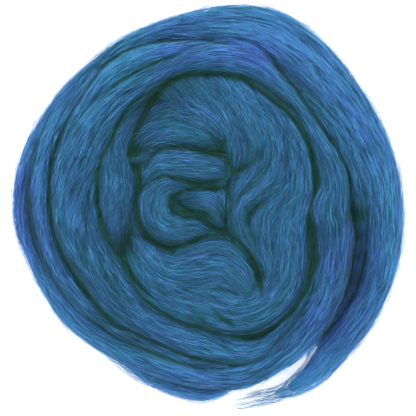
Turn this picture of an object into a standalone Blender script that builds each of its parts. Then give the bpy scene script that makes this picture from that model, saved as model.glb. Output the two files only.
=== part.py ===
"""A length of combed wool roving, coiled into a flat nest, with its loose end lying beside it.

The roving is one thick, untwisted band of wool. It starts at the loose end, runs round the nest
as an outer turn and a second turn, and is then folded back and forth inside them. Each table below
is one stretch of the band, seen from above. All sizes are in millimetres; +Z is up and the nest
rests on Z = 0, with the middle of its whole outline at the origin.
"""

import math

import bmesh
import bpy
from mathutils import Vector

MM = 0.001

# How the band is laid
LEAST_DEPTH = 4.5  # depth of a band whose width is next to nothing
DEPTH_PER_WIDTH = 0.85  # a wider band is deeper
MOST_DEPTH = 22.0
SECTION_STEP = 2.5  # between two cross sections
SECTION_SIDES = 20
LOCK_STEP = 1.5  # the same for the frayed locks
LOCK_SIDES = 10
MIDDLE = (0.15, -1.2)  # the middle of the outline, as the tables have it: the model's origin

# The main locks, raised as soft ridges along the band
RIDGES = 6
RIDGE_HEIGHT = 0.9
RIDGE_FULL_WIDTH = 14.0  # a narrower band has lower ridges
RIDGE_DRIFT = 0.018  # how fast the ridges wander round the band, radians per mm
RIDGE_SWAY = 0.4  # how unevenly they do so
RIDGE_SWAY_LENGTH = 31.0

# What lies hidden under the turns: one more turn, and the packed middle
LOWER_WIDTH = 21.0
LOWER_CROWN = 19.0
LOWER_INSET = 1.2  # from the outer turn's own edge
LOWER_FIRST_ROW = 4  # the row of the outer turn from which it lies on the lower one
LOWER_CROSSING = [  # where the lower turn runs inside the start of the outer one
    (56.0, -56.5),
    (67.0, -47.0),
    (76.0, -34.5),
    (82.0, -21.0),
]
CORE_RADIUS = 82.0
CORE_HEIGHT = 27.0
CORE_TOP = 0.2  # radius of its flat top, as a share of its own
CORE_BULGE = 2.4  # power of the core's rounded side: higher is boxier
CORE_RINGS = 7
CORE_SIDES = 40

# How the bands are fused into one solid
FUSE_VOXEL = 1.5
FUSE_SMOOTHING = 3  # passes
FUSE_SMOOTHING_FACTOR = 0.35
COIL_FACES = 10900
LOOSE_END_VOXEL = 0.9
LOOSE_END_FACES = 1500
SEAT_DEPTH = 1.2  # how far the lowest turn is pressed flat
JOINT_GAP = 0.3  # between the coil and the loose end
JOINT_LAP = 2.5  # how far each is first built past the joint, and then cut back
JOINT_TAPER = 1.8  # how much narrower they are there
JOINT_REACH = (7.8, 12.0)  # the coil's end face, to either side of the band's middle

# Each row: x, y of the band's middle, its width, and the height of its crown.
OUTER_TURN = [
    (60.2, -75.7, 16.3, 17.0),
    (72.0, -61.5, 17.5, 18.5),
    (79.5, -47.5, 17.0, 21.0),
    (85.5, -30.0, 17.5, 25.0),
    (88.5, -10.0, 18.5, 29.0),
    (86.0, 12.5, 22.0, 32.0),
    (76.4, 34.6, 25.5, 34.0),
    (64.4, 52.9, 26.5, 34.0),
    (48.0, 69.4, 25.5, 34.0),
    (30.4, 82.6, 24.0, 34.0),
    (13.0, 88.8, 21.5, 33.0),
    (-4.0, 89.5, 17.5, 32.0),
    (-24.0, 87.0, 11.0, 31.0),
    (-41.5, 79.5, 10.5, 30.0),
    (-58.0, 67.0, 10.5, 30.0),
    (-70.0, 54.0, 11.0, 30.0),
    (-80.0, 38.5, 10.5, 30.0),
    (-88.0, 22.5, 10.0, 30.0),
    (-92.5, 5.0, 10.0, 30.0),
    (-91.5, -11.5, 10.0, 29.0),
    (-86.0, -26.5, 11.0, 29.0),
    (-78.0, -41.0, 12.0, 29.0),
    (-67.0, -54.5, 13.5, 29.0),
    (-53.0, -66.0, 15.0, 29.0),
    (-36.5, -74.0, 16.0, 29.0),
    (-19.0, -80.5, 16.0, 30.0),
    (-1.5, -84.5, 14.5, 30.0),
    (16.0, -84.5, 13.5, 31.0),
    (32.0, -78.0, 14.5, 32.0),
    (45.5, -67.5, 15.5, 34.0),
]
SECOND_TURN = [
    (55.0, -54.5, 17.5, 36.0),
    (60.5, -37.5, 19.0, 38.0),
    (62.5, -22.5, 18.0, 39.0),
    (62.0, -7.5, 20.0, 40.0),
    (61.5, 3.5, 19.5, 40.0),
    (62.5, 13.5, 17.5, 40.0),
    (60.5, 23.0, 16.0, 40.0),
    (56.5, 32.5, 17.0, 40.0),
    (50.5, 42.5, 15.5, 39.0),
    (41.5, 54.5, 15.0, 39.0),
    (32.0, 64.0, 16.0, 40.0),
    (22.0, 70.5, 18.5, 42.0),
    (7.5, 73.5, 18.5, 42.0),
    (-6.5, 72.0, 16.0, 41.0),
    (-20.0, 67.5, 14.0, 41.0),
    (-34.0, 60.5, 16.5, 41.0),
    (-48.0, 50.0, 21.0, 41.0),
    (-58.0, 35.0, 23.0, 41.0),
    (-65.0, 18.5, 24.0, 41.0),
    (-67.0, 2.5, 25.0, 40.0),
    (-64.5, -13.5, 26.0, 40.0),
    (-57.0, -30.0, 28.0, 40.0),
    (-43.0, -48.5, 28.0, 39.0),
    (-24.0, -61.5, 23.0, 38.0),
    (-3.0, -67.5, 22.0, 37.0),
    (15.0, -73.0, 14.0, 36.0),
    (27.5, -70.0, 12.0, 35.0),
    (36.5, -60.5, 8.0, 34.0),
    (44.5, -48.5, 6.0, 32.0),
    (49.0, -38.5, 4.0, 28.0),
]
# Locks that part from the turns and lie beside them
LEFT_LOCK = [
    (-72.0, 49.5, 4.0, 31.0),
    (-77.0, 40.0, 7.5, 33.0),
    (-81.0, 27.5, 9.0, 34.0),
    (-83.5, 11.5, 9.5, 34.0),
    (-83.0, -3.5, 9.5, 34.0),
    (-79.5, -19.0, 9.0, 34.0),
    (-73.5, -33.5, 8.5, 33.0),
    (-65.5, -45.5, 7.0, 32.0),
    (-56.0, -56.5, 5.0, 30.0),
]
TOP_LOCK = [
    (9.0, 80.0, 4.0, 36.0),
    (-6.5, 80.0, 7.0, 38.0),
    (-24.0, 77.0, 10.0, 39.0),
    (-39.0, 69.5, 12.0, 39.0),
    (-52.0, 59.5, 13.0, 39.0),
    (-62.0, 47.5, 13.0, 38.0),
    (-69.0, 33.5, 11.0, 37.0),
    (-73.5, 18.5, 7.0, 35.0),
]
BOTTOM_LOCK = [
    (-46.5, -75.5, 6.0, 16.0),
    (-34.0, -83.5, 9.0, 19.0),
    (-21.0, -89.5, 10.0, 21.0),
    (-8.0, -92.5, 11.0, 22.0),
    (4.0, -92.0, 10.0, 22.0),
    (17.0, -88.5, 8.0, 21.0),
    (30.0, -83.5, 5.0, 18.0),
]
# The band's folds inside the second turn
LEFT_FOLD = [
    (-11.5, 62.5, 5.0, 34.0),
    (-22.5, 57.0, 6.0, 36.0),
    (-32.5, 49.0, 8.0, 37.0),
    (-40.0, 40.0, 9.5, 38.0),
    (-45.0, 30.0, 13.0, 39.0),
    (-46.0, 18.5, 17.5, 40.0),
    (-45.0, 7.5, 20.5, 40.0),
    (-45.5, -4.0, 18.5, 39.0),
    (-44.5, -15.5, 13.0, 36.0),
    (-42.0, -24.5, 7.0, 31.0),
]
UPPER_FOLD = [
    (-37.0, 21.5, 8.0, 33.0),
    (-34.5, 29.5, 13.0, 37.0),
    (-26.5, 35.5, 18.0, 39.0),
    (-13.0, 37.5, 19.5, 40.0),
    (-1.0, 34.5, 15.0, 39.0),
    (6.5, 28.5, 7.0, 35.0),
]
UPPER_HOLLOW = [
    (-29.0, 44.5, 9.0, 33.0),
    (-20.0, 49.5, 14.0, 34.0),
    (-9.0, 48.5, 15.0, 36.0),
    (0.0, 43.5, 12.0, 37.0),
    (6.0, 36.5, 6.0, 36.0),
]
FAN_LEFT = [
    (-11.0, 63.5, 10.0, 33.0),
    (-8.5, 58.5, 14.0, 36.0),
    (-1.5, 53.5, 18.0, 39.0),
    (7.0, 44.5, 20.0, 41.0),
    (13.5, 34.0, 18.0, 41.0),
    (15.5, 24.5, 13.0, 39.0),
    (13.5, 16.5, 6.0, 34.0),
]
FAN_MIDDLE = [
    (1.0, 67.0, 10.0, 34.0),
    (8.0, 61.0, 17.0, 38.0),
    (17.5, 53.5, 21.0, 41.0),
    (27.0, 43.5, 23.0, 42.0),
    (32.5, 31.5, 21.0, 42.0),
    (30.0, 21.5, 17.0, 42.0),
    (22.0, 14.5, 13.0, 42.0),
    (16.0, 7.5, 10.0, 41.0),
    (12.5, 0.0, 7.0, 39.0),
    (11.0, -7.5, 5.0, 34.0),
]
FAN_BEND = [
    (21.0, 56.5, 11.0, 38.0),
    (32.0, 46.5, 18.0, 41.0),
    (39.5, 33.5, 18.0, 42.0),
    (41.0, 22.5, 16.0, 42.0),
    (34.5, 13.5, 13.0, 43.0),
    (25.0, 6.5, 12.0, 43.0),
    (18.5, -0.5, 11.0, 42.0),
    (16.0, -9.0, 10.0, 41.0),
    (19.0, -20.5, 9.0, 40.0),
    (24.0, -31.5, 8.0, 38.0),
    (28.0, -41.5, 5.0, 33.0),
]
FAN_HOLLOW = [
    (44.0, 13.5, 9.0, 38.0),
    (37.0, 4.5, 13.0, 37.0),
    (31.5, -5.5, 15.0, 36.0),
    (29.5, -16.5, 14.0, 36.0),
    (31.5, -28.5, 13.0, 37.0),
    (33.0, -40.0, 11.0, 38.0),
    (29.0, -49.0, 8.0, 37.0),
]
FAN_RIGHT = [
    (16.0, 59.5, 10.0, 37.0),
    (27.0, 54.5, 12.0, 39.0),
    (37.0, 45.5, 13.5, 40.0),
    (43.5, 33.5, 14.5, 41.0),
    (46.0, 20.0, 13.5, 42.0),
    (46.5, 5.0, 13.5, 42.0),
    (43.0, -10.0, 15.5, 42.0),
    (41.5, -25.0, 18.5, 42.0),
    (38.5, -40.0, 18.5, 42.0),
    (28.0, -55.0, 17.5, 42.0),
    (15.0, -57.0, 17.5, 41.0),
    (1.0, -49.5, 20.5, 41.0),
    (-14.0, -43.0, 22.5, 41.0),
    (-28.0, -35.5, 19.5, 40.0),
    (-37.0, -26.0, 13.5, 38.0),
    (-41.0, -18.0, 8.0, 33.0),
]
LOWER_LOOP = [
    (26.0, -51.5, 8.0, 38.0),
    (21.5, -41.5, 18.0, 42.0),
    (15.0, -33.0, 24.0, 44.0),
    (6.0, -28.5, 26.0, 45.0),
    (-6.5, -30.5, 25.0, 45.0),
    (-18.5, -32.0, 19.0, 44.0),
    (-28.0, -26.5, 14.0, 42.0),
    (-34.5, -18.5, 10.0, 40.0),
    (-37.0, -12.5, 6.0, 35.0),
]
MIDDLE_BAR = [
    (11.0, 16.0, 9.0, 38.0),
    (3.0, 18.5, 16.0, 43.0),
    (-6.5, 19.0, 17.5, 44.0),
    (-16.5, 20.5, 15.5, 44.0),
    (-25.0, 20.5, 12.5, 44.0),
    (-30.5, 14.0, 8.5, 42.0),
    (-33.5, 5.5, 5.0, 38.0),
]
MIDDLE_CURL = [
    (-4.0, 9.5, 5.0, 36.0),
    (-13.0, 10.5, 8.0, 40.0),
    (-22.5, 8.5, 13.0, 43.0),
    (-27.0, 0.5, 16.5, 45.0),
    (-24.0, -9.0, 16.5, 45.0),
    (-14.5, -13.0, 15.5, 44.0),
    (-5.0, -12.0, 10.5, 41.0),
    (2.0, -14.0, 5.0, 36.0),
]
INNER_TUCK = [
    (-18.0, -0.5, 8.0, 36.0),
    (-14.0, 3.5, 11.0, 38.0),
    (-6.0, 3.0, 13.0, 39.0),
    (0.5, 0.5, 11.0, 38.0),
    (3.5, -5.5, 8.0, 35.0),
    (4.5, -11.0, 5.0, 31.0),
]
INNER_SLIP = [
    (6.0, 9.5, 5.0, 37.0),
    (7.5, 1.0, 5.5, 38.0),
    (6.5, -7.0, 4.5, 34.0),
]
# The loose end, from where it leaves the outer turn, and the locks it frays into
LOOSE_END = [
    (60.8, -76.2, 14.6, 17.0),
    (56.0, -80.7, 15.2, 14.5),
    (50.3, -86.5, 13.6, 11.5),
    (44.0, -91.3, 11.2, 8.5),
    (38.5, -95.0, 7.5, 6.0),
    (34.0, -97.6, 3.5, 4.0),
]
FRAYED_LOCKS = [
    [(44.0, -91.0, 6.0, 7.5), (36.0, -95.5, 4.8, 5.0), (27.0, -97.7, 3.6, 3.6), (15.0, -101.3, 1.4, 2.0)],
    [(42.0, -94.0, 5.0, 7.0), (35.5, -98.2, 3.8, 4.5), (28.0, -101.8, 1.4, 2.0)],
    [(45.0, -85.0, 4.0, 7.5), (39.5, -89.0, 3.6, 5.0), (35.0, -94.5, 1.8, 2.6)],
]

WOUND_BANDS = [
    OUTER_TURN + SECOND_TURN,
    LEFT_LOCK,
    TOP_LOCK,
    BOTTOM_LOCK,
    LEFT_FOLD,
    UPPER_FOLD,
    UPPER_HOLLOW,
    FAN_LEFT,
    FAN_MIDDLE,
    FAN_BEND,
    FAN_HOLLOW,
    FAN_RIGHT,
    LOWER_LOOP,
    MIDDLE_BAR,
    MIDDLE_CURL,
    INNER_TUCK,
    INNER_SLIP,
]


def clear_scene():
    for obj in list(bpy.data.objects):
        bpy.data.objects.remove(obj, do_unlink=True)


def smooth_rows(rows, step):
    """The rows with more between them, on a curve through all of them, about a step apart."""
    ends = [rows[0], *rows, rows[-1]]
    found = []
    for before, start, end, after in zip(ends, ends[1:], ends[2:], ends[3:]):
        length = math.hypot(end[0] - start[0], end[1] - start[1])
        pieces = max(1, round(length / step))
        for i in range(pieces):
            t = i / pieces
            found.append(
                tuple(
                    b + 0.5 * t * (c - a + t * (2 * a - 5 * b + 4 * c - d + t * (3 * (b - c) + d - a)))
                    for a, b, c, d in zip(before, start, end, after)
                )
            )
    return [*found, rows[-1]]


def spot(x, y, z=0.0):
    """A place given as the tables give it, in the model's own coordinates and in metres."""
    return Vector((x - MIDDLE[0], y - MIDDLE[1], z)) * MM


def band_depth(width):
    return min(MOST_DEPTH, LEAST_DEPTH + DEPTH_PER_WIDTH * width)


def heading(rows, i):
    """The way the band runs at a row, as a unit vector on the ground."""
    before, after = rows[max(i - 1, 0)], rows[min(i + 1, len(rows) - 1)]
    x, y = after[0] - before[0], after[1] - before[1]
    length = math.hypot(x, y)
    return x / length, y / length


def band_sections(rows, step=SECTION_STEP, sides=SECTION_SIDES, depth=band_depth):
    """The band's cross sections: flattened rounds with soft ridges, one for each smoothed row."""
    path = smooth_rows(rows, step)
    sections = []
    along = 0.0
    for i, (x, y, width, crown) in enumerate(path):
        if i:
            along += math.hypot(x - path[i - 1][0], y - path[i - 1][1])
        ahead = heading(path, i)
        thick = depth(width)
        ridge = RIDGE_HEIGHT * min(1.0, width / RIDGE_FULL_WIDTH)
        drift = RIDGE_DRIFT * along * (1 + RIDGE_SWAY * math.sin(along / RIDGE_SWAY_LENGTH))
        ring = []
        for k in range(sides):
            angle = 2 * math.pi * k / sides
            lift = ridge * math.cos(RIDGES * angle + drift)
            across = (width / 2 + lift) * math.cos(angle)
            up = (thick / 2 + lift) * math.sin(angle)
            ring.append(spot(x - ahead[1] * across, y + ahead[0] * across, crown - thick / 2 + up))
        sections.append(ring)
    return sections


def add_band(bm, sections):
    """Skins the sections, and closes both ends flat."""
    loops = [[bm.verts.new(point) for point in ring] for ring in sections]
    sides = len(loops[0])
    for first, second in zip(loops, loops[1:]):
        for k in range(sides):
            bm.faces.new((first[k], second[k], second[(k + 1) % sides], first[(k + 1) % sides]))
    bm.faces.new(loops[0])
    bm.faces.new(reversed(loops[-1]))


def lower_turn():
    """The hidden turn that the outer one lies on, a little inside its edge; its ends overlap."""
    rows = OUTER_TURN[LOWER_FIRST_ROW:]
    found = []
    for i, (x, y, width, _) in enumerate(rows):
        ahead = heading(rows, i)
        inward = (LOWER_WIDTH - width) / 2 + LOWER_INSET
        found.append((x - ahead[1] * inward, y + ahead[0] * inward, LOWER_WIDTH, LOWER_CROWN))
    crossing = [(x, y, LOWER_WIDTH, LOWER_CROWN) for x, y in LOWER_CROSSING]
    return [*found, *crossing, *found[:2]]


def lower_depth(width):
    return 2 * (LOWER_CROWN / 2 + SEAT_DEPTH) * width / LOWER_WIDTH


def add_core(bm):
    """The packed middle of the nest, a low rounded plug that fills what the folds enclose."""
    loops = []
    for i in range(CORE_RINGS):
        rise = i / (CORE_RINGS - 1)
        radius = CORE_RADIUS * max(CORE_TOP, (1 - rise**CORE_BULGE) ** (1 / CORE_BULGE))
        height = -SEAT_DEPTH + (CORE_HEIGHT + SEAT_DEPTH) * rise
        turns = [2 * math.pi * k / CORE_SIDES for k in range(CORE_SIDES)]
        loops.append([bm.verts.new(spot(radius * math.cos(a), radius * math.sin(a), height)) for a in turns])
    for first, second in zip(loops, loops[1:]):
        for k in range(CORE_SIDES):
            after = (k + 1) % CORE_SIDES
            bm.faces.new((first[k], first[after], second[after], second[k]))
    bm.faces.new(reversed(loops[0]))
    bm.faces.new(loops[-1])


def wool(name, colour):
    material = bpy.data.materials.new(name)
    material.use_nodes = True
    shader = material.node_tree.nodes["Principled BSDF"]
    shader.inputs["Base Color"].default_value = colour
    shader.inputs["Roughness"].default_value = 0.75
    shader.inputs["Metallic"].default_value = 0.0
    return material


def add_object(name, bm, material):
    mesh = bpy.data.meshes.new(name)
    bmesh.ops.recalc_face_normals(bm, faces=bm.faces)
    bm.to_mesh(mesh)
    bm.free()
    obj = bpy.data.objects.new(name, mesh)
    bpy.context.scene.collection.objects.link(obj)
    if material:
        mesh.materials.append(material)
    return obj


def keep_outer_shell(obj):
    """Fills the sealed hollows between the bands, by dropping every shell but the one around them all."""
    bm = bmesh.new()
    bm.from_mesh(obj.data)
    left = set(bm.faces)
    shells = []
    while left:
        shell = {left.pop()}
        fresh = set(shell)
        while fresh:
            beside = {near for face in fresh for edge in face.edges for near in edge.link_faces}
            fresh = beside - shell
            shell |= fresh
        left -= shell
        shells.append(shell)
    largest = max(shells, key=len)
    inner = [face for shell in shells if shell is not largest for face in shell]
    bmesh.ops.delete(bm, geom=inner, context="FACES")
    bm.to_mesh(obj.data)
    bm.free()


def settle(obj):
    """Makes the object's modifiers part of its mesh."""
    graph = bpy.context.evaluated_depsgraph_get()
    mesh = bpy.data.meshes.new_from_object(obj.evaluated_get(graph))
    obj.modifiers.clear()
    obj.data = mesh


def fuse(obj, voxel, faces):
    """Fuses the overlapping bands into one skin and thins it to a number of triangles."""
    remesh = obj.modifiers.new("Fuse", "REMESH")
    remesh.mode = "VOXEL"
    remesh.voxel_size = voxel * MM
    remesh.use_smooth_shade = True
    smooth = obj.modifiers.new("Soften", "SMOOTH")
    smooth.factor = FUSE_SMOOTHING_FACTOR
    smooth.iterations = FUSE_SMOOTHING
    settle(obj)
    keep_outer_shell(obj)
    triangles = sum(len(face.vertices) - 2 for face in obj.data.polygons)
    thin = obj.modifiers.new("Thin", "DECIMATE")
    thin.ratio = min(1.0, faces / triangles)
    settle(obj)


def cut(obj, point, normal):
    """Removes what lies on the normal's side of a plane, and closes the cut with a flat face."""
    bm = bmesh.new()
    bm.from_mesh(obj.data)
    geometry = bm.verts[:] + bm.edges[:] + bm.faces[:]
    found = bmesh.ops.bisect_plane(
        bm, geom=geometry, dist=1e-6, plane_co=point, plane_no=normal, clear_outer=True
    )
    rim = [item for item in found["geom_cut"] if isinstance(item, bmesh.types.BMEdge)]
    bmesh.ops.triangle_fill(bm, edges=rim, normal=normal, use_beauty=True)
    bmesh.ops.recalc_face_normals(bm, faces=bm.faces)
    bm.to_mesh(obj.data)
    bm.free()


def past_joint(rows, way):
    """The rows with one more before the first: a slightly narrower section, further along a way."""
    x, y, width, crown = rows[0]
    return [(x + way[0] * JOINT_LAP, y + way[1] * JOINT_LAP, width - JOINT_TAPER, crown), *rows]


def trim_coil_end(coil, point, way):
    """Cuts the coil's own end off flat at the joint, and leaves the turns beside it alone."""
    side = Vector((-way.y, way.x, 0.0))
    near, far = (reach * MM for reach in JOINT_REACH)
    length, height = 4 * JOINT_LAP * MM, 3 * OUTER_TURN[0][3] * MM
    block = bmesh.new()
    corners = [
        point - side * far,
        point + side * near,
        point + side * near - way * length,
        point - side * far - way * length,
    ]
    floor = block.faces.new([block.verts.new((p.x, p.y, -height / 2)) for p in corners])
    raised = bmesh.ops.extrude_face_region(block, geom=[floor])
    top = [item for item in raised["geom"] if isinstance(item, bmesh.types.BMVert)]
    bmesh.ops.translate(block, vec=(0, 0, height), verts=top)
    cutter = add_object("joint_cutter", block, None)
    difference = coil.modifiers.new("Joint", "BOOLEAN")
    difference.operation = "DIFFERENCE"
    difference.object = cutter
    settle(coil)
    bpy.data.objects.remove(cutter, do_unlink=True)


def make_coil(material):
    way = heading(OUTER_TURN, 0)
    back = (-way[0], -way[1])
    bm = bmesh.new()
    for rows in WOUND_BANDS:
        add_band(bm, band_sections(rows))
    add_band(bm, band_sections(past_joint(OUTER_TURN[:3], back)))
    add_band(bm, band_sections(lower_turn(), depth=lower_depth))
    add_core(bm)
    coil = add_object("roving_coil", bm, material)
    fuse(coil, FUSE_VOXEL, COIL_FACES)
    cut(coil, Vector((0, 0, 0)), Vector((0, 0, -1)))
    trim_coil_end(coil, spot(*OUTER_TURN[0][:2]), Vector((*way, 0.0)))
    return coil


def make_loose_end(material):
    way = heading(OUTER_TURN, 0)
    bm = bmesh.new()
    add_band(bm, band_sections(past_joint(LOOSE_END, way)))
    for rows in FRAYED_LOCKS:
        add_band(bm, band_sections(rows, LOCK_STEP, LOCK_SIDES))
    end = add_object("loose_end", bm, material)
    fuse(end, LOOSE_END_VOXEL, LOOSE_END_FACES)
    x, y = (place - JOINT_GAP * part for place, part in zip(OUTER_TURN[0], way))
    cut(end, spot(x, y), Vector((*way, 0.0)))
    cut(end, Vector((0, 0, 0)), Vector((0, 0, -1)))
    return end


def main():
    clear_scene()
    blue = wool("blue_wool", (0.03, 0.15, 0.36, 1.0))
    make_coil(blue)
    make_loose_end(blue)


main()
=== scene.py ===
"""The looks of a length of combed wool roving, coiled into a flat nest.

The wool is one soft fused body, with combed fibres laid along the band on all that shows of it.
The bands and their tables are those of the CAD model. Table values are in millimetres and all
else is in metres. Fibres are laid by Geometry Nodes in each band's own coordinates: u runs along
the band and v round it.
"""

import math

import bmesh
import bpy
import numpy as np
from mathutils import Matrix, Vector
from mathutils.bvhtree import BVHTree


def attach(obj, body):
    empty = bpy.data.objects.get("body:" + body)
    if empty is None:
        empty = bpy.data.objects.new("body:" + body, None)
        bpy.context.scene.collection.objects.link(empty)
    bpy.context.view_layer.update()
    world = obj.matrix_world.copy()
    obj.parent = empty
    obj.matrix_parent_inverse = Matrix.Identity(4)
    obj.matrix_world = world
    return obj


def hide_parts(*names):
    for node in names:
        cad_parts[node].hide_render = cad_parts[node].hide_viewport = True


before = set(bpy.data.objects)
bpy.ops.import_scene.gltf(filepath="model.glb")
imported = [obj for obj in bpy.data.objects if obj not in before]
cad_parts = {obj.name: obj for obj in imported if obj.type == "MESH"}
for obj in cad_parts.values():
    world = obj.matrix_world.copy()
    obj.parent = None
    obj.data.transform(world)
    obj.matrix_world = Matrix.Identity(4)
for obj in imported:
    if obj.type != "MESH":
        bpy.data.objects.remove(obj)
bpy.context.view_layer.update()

MM = 0.001
ROOT = "root"

# How the band is laid, as in the CAD model
LEAST_DEPTH = 4.5
DEPTH_PER_WIDTH = 0.85
MOST_DEPTH = 22.0
MIDDLE = (0.15, -1.2)  # the tables' place for the model's origin
FULLNESS = 2.9  # of a cross section: 2 is an ellipse, and more is boxier
SOFT_FULLNESS = 2.0
RIDGES = 6
RIDGE_HEIGHT = 0.3
RIDGE_FULL_WIDTH = 14.0
RIDGE_DRIFT = 0.018
RIDGE_SWAY = 0.4
RIDGE_SWAY_LENGTH = 31.0
LOWER_WIDTH = 21.0
LOWER_CROWN = 19.0
LOWER_INSET = 1.2
LOWER_FIRST_ROW = 4
LOWER_CROSSING = [(53.5, -54.5), (65, -45), (76, -34.5), (82, -21)]
CORE_RADIUS = 82.0
CORE_HEIGHT = 33.0
CORE_TOP = 0.2
CORE_BULGE = 2.4
CORE_RINGS = 9
CORE_SIDES = 64
SEAT_DEPTH = 1.2
END_DEPTH = 0.8  # of the loose end, for its width, and the least
END_FLOOR = 0.3

# Finer locks, which only the looks have: how many round the band, how high, and their drift
LOCKS = ((11, 0.14, 0.021), (17, 0.10, -0.033), (29, 0.06, 0.047))
LOCK_SWAY = 1.7
LOCK_SWAY_LENGTH = 2.3  # times how many there are
SECTION_STEP = 2.0
SECTION_SIDES = 72

# The fused bodies
BODY_VOXEL = 1.1 * MM
BODY_SMOOTHING = 4
END_VOXEL = 0.5 * MM
END_SMOOTHING = 1
SMOOTHING_FACTOR = 0.4
FACE_SHARES = (-2, 3)  # how far past a band's face its map goes on, in shares of the face

# Painted light and shade in the wool's colour, by a map of the nest's heights seen from above
MAP_CELL = 0.4 * MM
MAP_REACH = 0.106
MAP_TOP = 0.06
LIGHT_WAYS = 16
LIGHT_RANGES = tuple(r * MM for r in (0.8, 1.6, 3.2, 5.0, 7.0))
LIGHT_POWER = 0.62
GROOVE_REACH = 1.0 * MM
GROOVE_DEPTH = 0.5 * MM
GROOVE_FREE = 0.15 * MM  # that leaves the wool as light as it is
LEAST_LIGHT = 0.12
CREASE_DARK = 1.1 * MM  # a crease as deep as that takes away most of the light
CREASE_STEP = 0.4
CREASE_REACH = 2.6  # times half its width
SLOPE_REACH = 1.5 * MM
SLOPE_FLOOR = 0.028  # no lower than that, so that the nest's outer side isn't a slope
# Painted shade on slopes that face away from the light's way, and a little painted light on slopes that
# face it
LIGHT_FROM = (0.1, 1.0)
SLOPE_DIM = 0.34
SLOPE_RANGE = (-0.10, 0.38)
RIM_REACH = 2.4 * MM  # from the nest's outline, where nothing shades the wool
RIM_LIGHT = 2.5
EDGE_REACH = 1.0 * MM  # past the outline, where the nearest wool's light holds
EDGE_SHARE = 0.02
# Painted shade on the nest's sides, below the crown
SIDE_DIM = 12.0  # to a metre below the crown
SIDE_LEAST = 0.6
# Painted shade on wool sunk deep within the second turn
DEEP = (0.0345, 0.0405)  # within the second turn, wool sunk from the upper to the lower is dark
DEEP_LEVEL = 0.35
INNER_REACH = 0.062
OUTER_REACH = 0.088
# Painted shade: the wool's level falls from the nest's edge towards its centre
INNER_LEVEL = 0.78
OUTER_LEVEL = 1.03
HUE_MIDDLE = 0.45
HUE_OUTWARD = 0.08

# Where fibres grow
SIDE_SHARE = 0.25  # of the fibres, on the nest's sides
LOWER_SHARE = 0.45  # of the fibres, on the turn below, which shows from the side only
FLOOR_CLEAR = 1.0 * MM
RIM_START = 0.082
RIM_TURN = 0.6  # strays grow where the wool faces outwards by more than half of that
BURIED = 0.9 * MM
LIGHT_SPREAD = 0.5 * MM  # each fibre takes its light that far beside it, some way round
LIGHT_TURN = 97
LEVEL_ENDS = (0.01, 0.985)  # of the palette, between which the fibres' levels stay
TIP_LEVEL = 0.01  # more at a fibre's end than at its start
FLOOR_GAP = 0.3 * MM

# The wool's waves: how many to a metre along the band and across it, and how much each fibre's
# own differ
LOCK_WAVES = (22.0, 120.0, 0.0)
CRIMP_WAVES = (190.0, 260.0, 0.35)
OWN_WAVES = (70.0, 0.0, 97.0)
# The wool's unevenness, with painted glints along the fibres, lock tones that are partly painted
# highlights, and painted shade in lines between the locks: how many waves to a metre along the
# band, and across it or to a turn round it or to each fibre, and which waves they are
LOCK_RISES = (14.0, 22.0, 5.0)
LOCK_HUES = (16.0, 45.0, 2.0)
# Painted glints along each fibre
GLINTS = (260.0, 53.0, 7.0)
STREAKS = (85.0, 2500.0, 9.0)
# Lighter and darker locks, partly painted highlights
LOCK_LEVELS = (14.0, 300.0, 3.0)
# Painted shade in thin lines between the locks
LOCK_LINES = (10.0, 120.0, 6.0)
LOCK_LINE_WIDTH = 0.035
GLINT_LEVEL = 0.3
# How far a lock, a fibre and a fibre's side go from the dye's hue, and the hues they stay between
LOCK_HUE = 1.2
OWN_HUE = 0.5
SIDE_HUE = 0.004
HUE_ENDS = (0.01, 0.98)
PALE_POWER = 1.6  # few fibres are pale
END_POWER = 3.0  # only a fibre's ends rise and thin out
END_THINNING = 0.75

# What the fibre tree is given, in metres but for the counts and shares
FIBRE_INPUTS = {
    "Fibres per area": 2.4e5, "Rim share": 0.0, "Reach": 1.0, "Least length": 0.02,
    "Most length": 0.04, "Least radius": 0.00014, "Most radius": 0.00024, "Most lift": 0.0004,
    "End lift": 0.0, "Lock height": 0.0004, "Lock sway": 0.0016, "Crimp": 0.0004,
    "Own sway": 0.0008, "Slant": 0.001, "Least level": 0.6, "More level": 0.8, "Lock level": 0.22,
    "Lock line": 0.3, "Streak level": 2.9, "Points": 6, "Seed": 1,
}
FIBRE_KINDS = {
    "short": dict(
        Fibres_per_area=8.2e5, Least_length=0.005, Most_length=0.011, Least_radius=0.00007,
        Most_radius=0.00013, Most_lift=0.0004, Crimp=0.00025, Own_sway=0.0002, Slant=0.0006,
        Least_level=0.62, More_level=0.64, Points=4,
    ),
    "long": dict(
        Fibres_per_area=0.3e5, Least_length=0.015, Most_length=0.04, Least_radius=0.00007,
        Most_radius=0.00012, Most_lift=0.0008, Crimp=0.0003, Slant=0.0035, Least_level=0.70,
        More_level=0.6, Points=12,
    ),
    "stray": dict(
        Fibres_per_area=0.2e5, Least_length=0.015, Most_length=0.045, Least_radius=0.00004,
        Most_radius=0.00008, Most_lift=0.0012, End_lift=0.0045, Own_sway=0.005, Slant=0.009,
        Least_level=0.9, More_level=0.8, Points=10, Rim_share=2.8,
    ),
}
WISP_KINDS = {
    "wisp": dict(
        Fibres_per_area=1.6e5, Least_length=0.012, Most_length=0.04, Least_radius=0.00005,
        Most_radius=0.0001, Most_lift=0.0004, End_lift=0.001, Own_sway=0.002, Slant=0.003,
        Least_level=0.85, More_level=0.6, Points=12, Streak_level=1.2,
    ),
}

# The wool's surface
WOOL = {
    "Roughness": 0.65, "Specular IOR Level": 0.12, "Sheen Weight": 0.02, "Sheen Roughness": 0.5,
}
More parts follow.
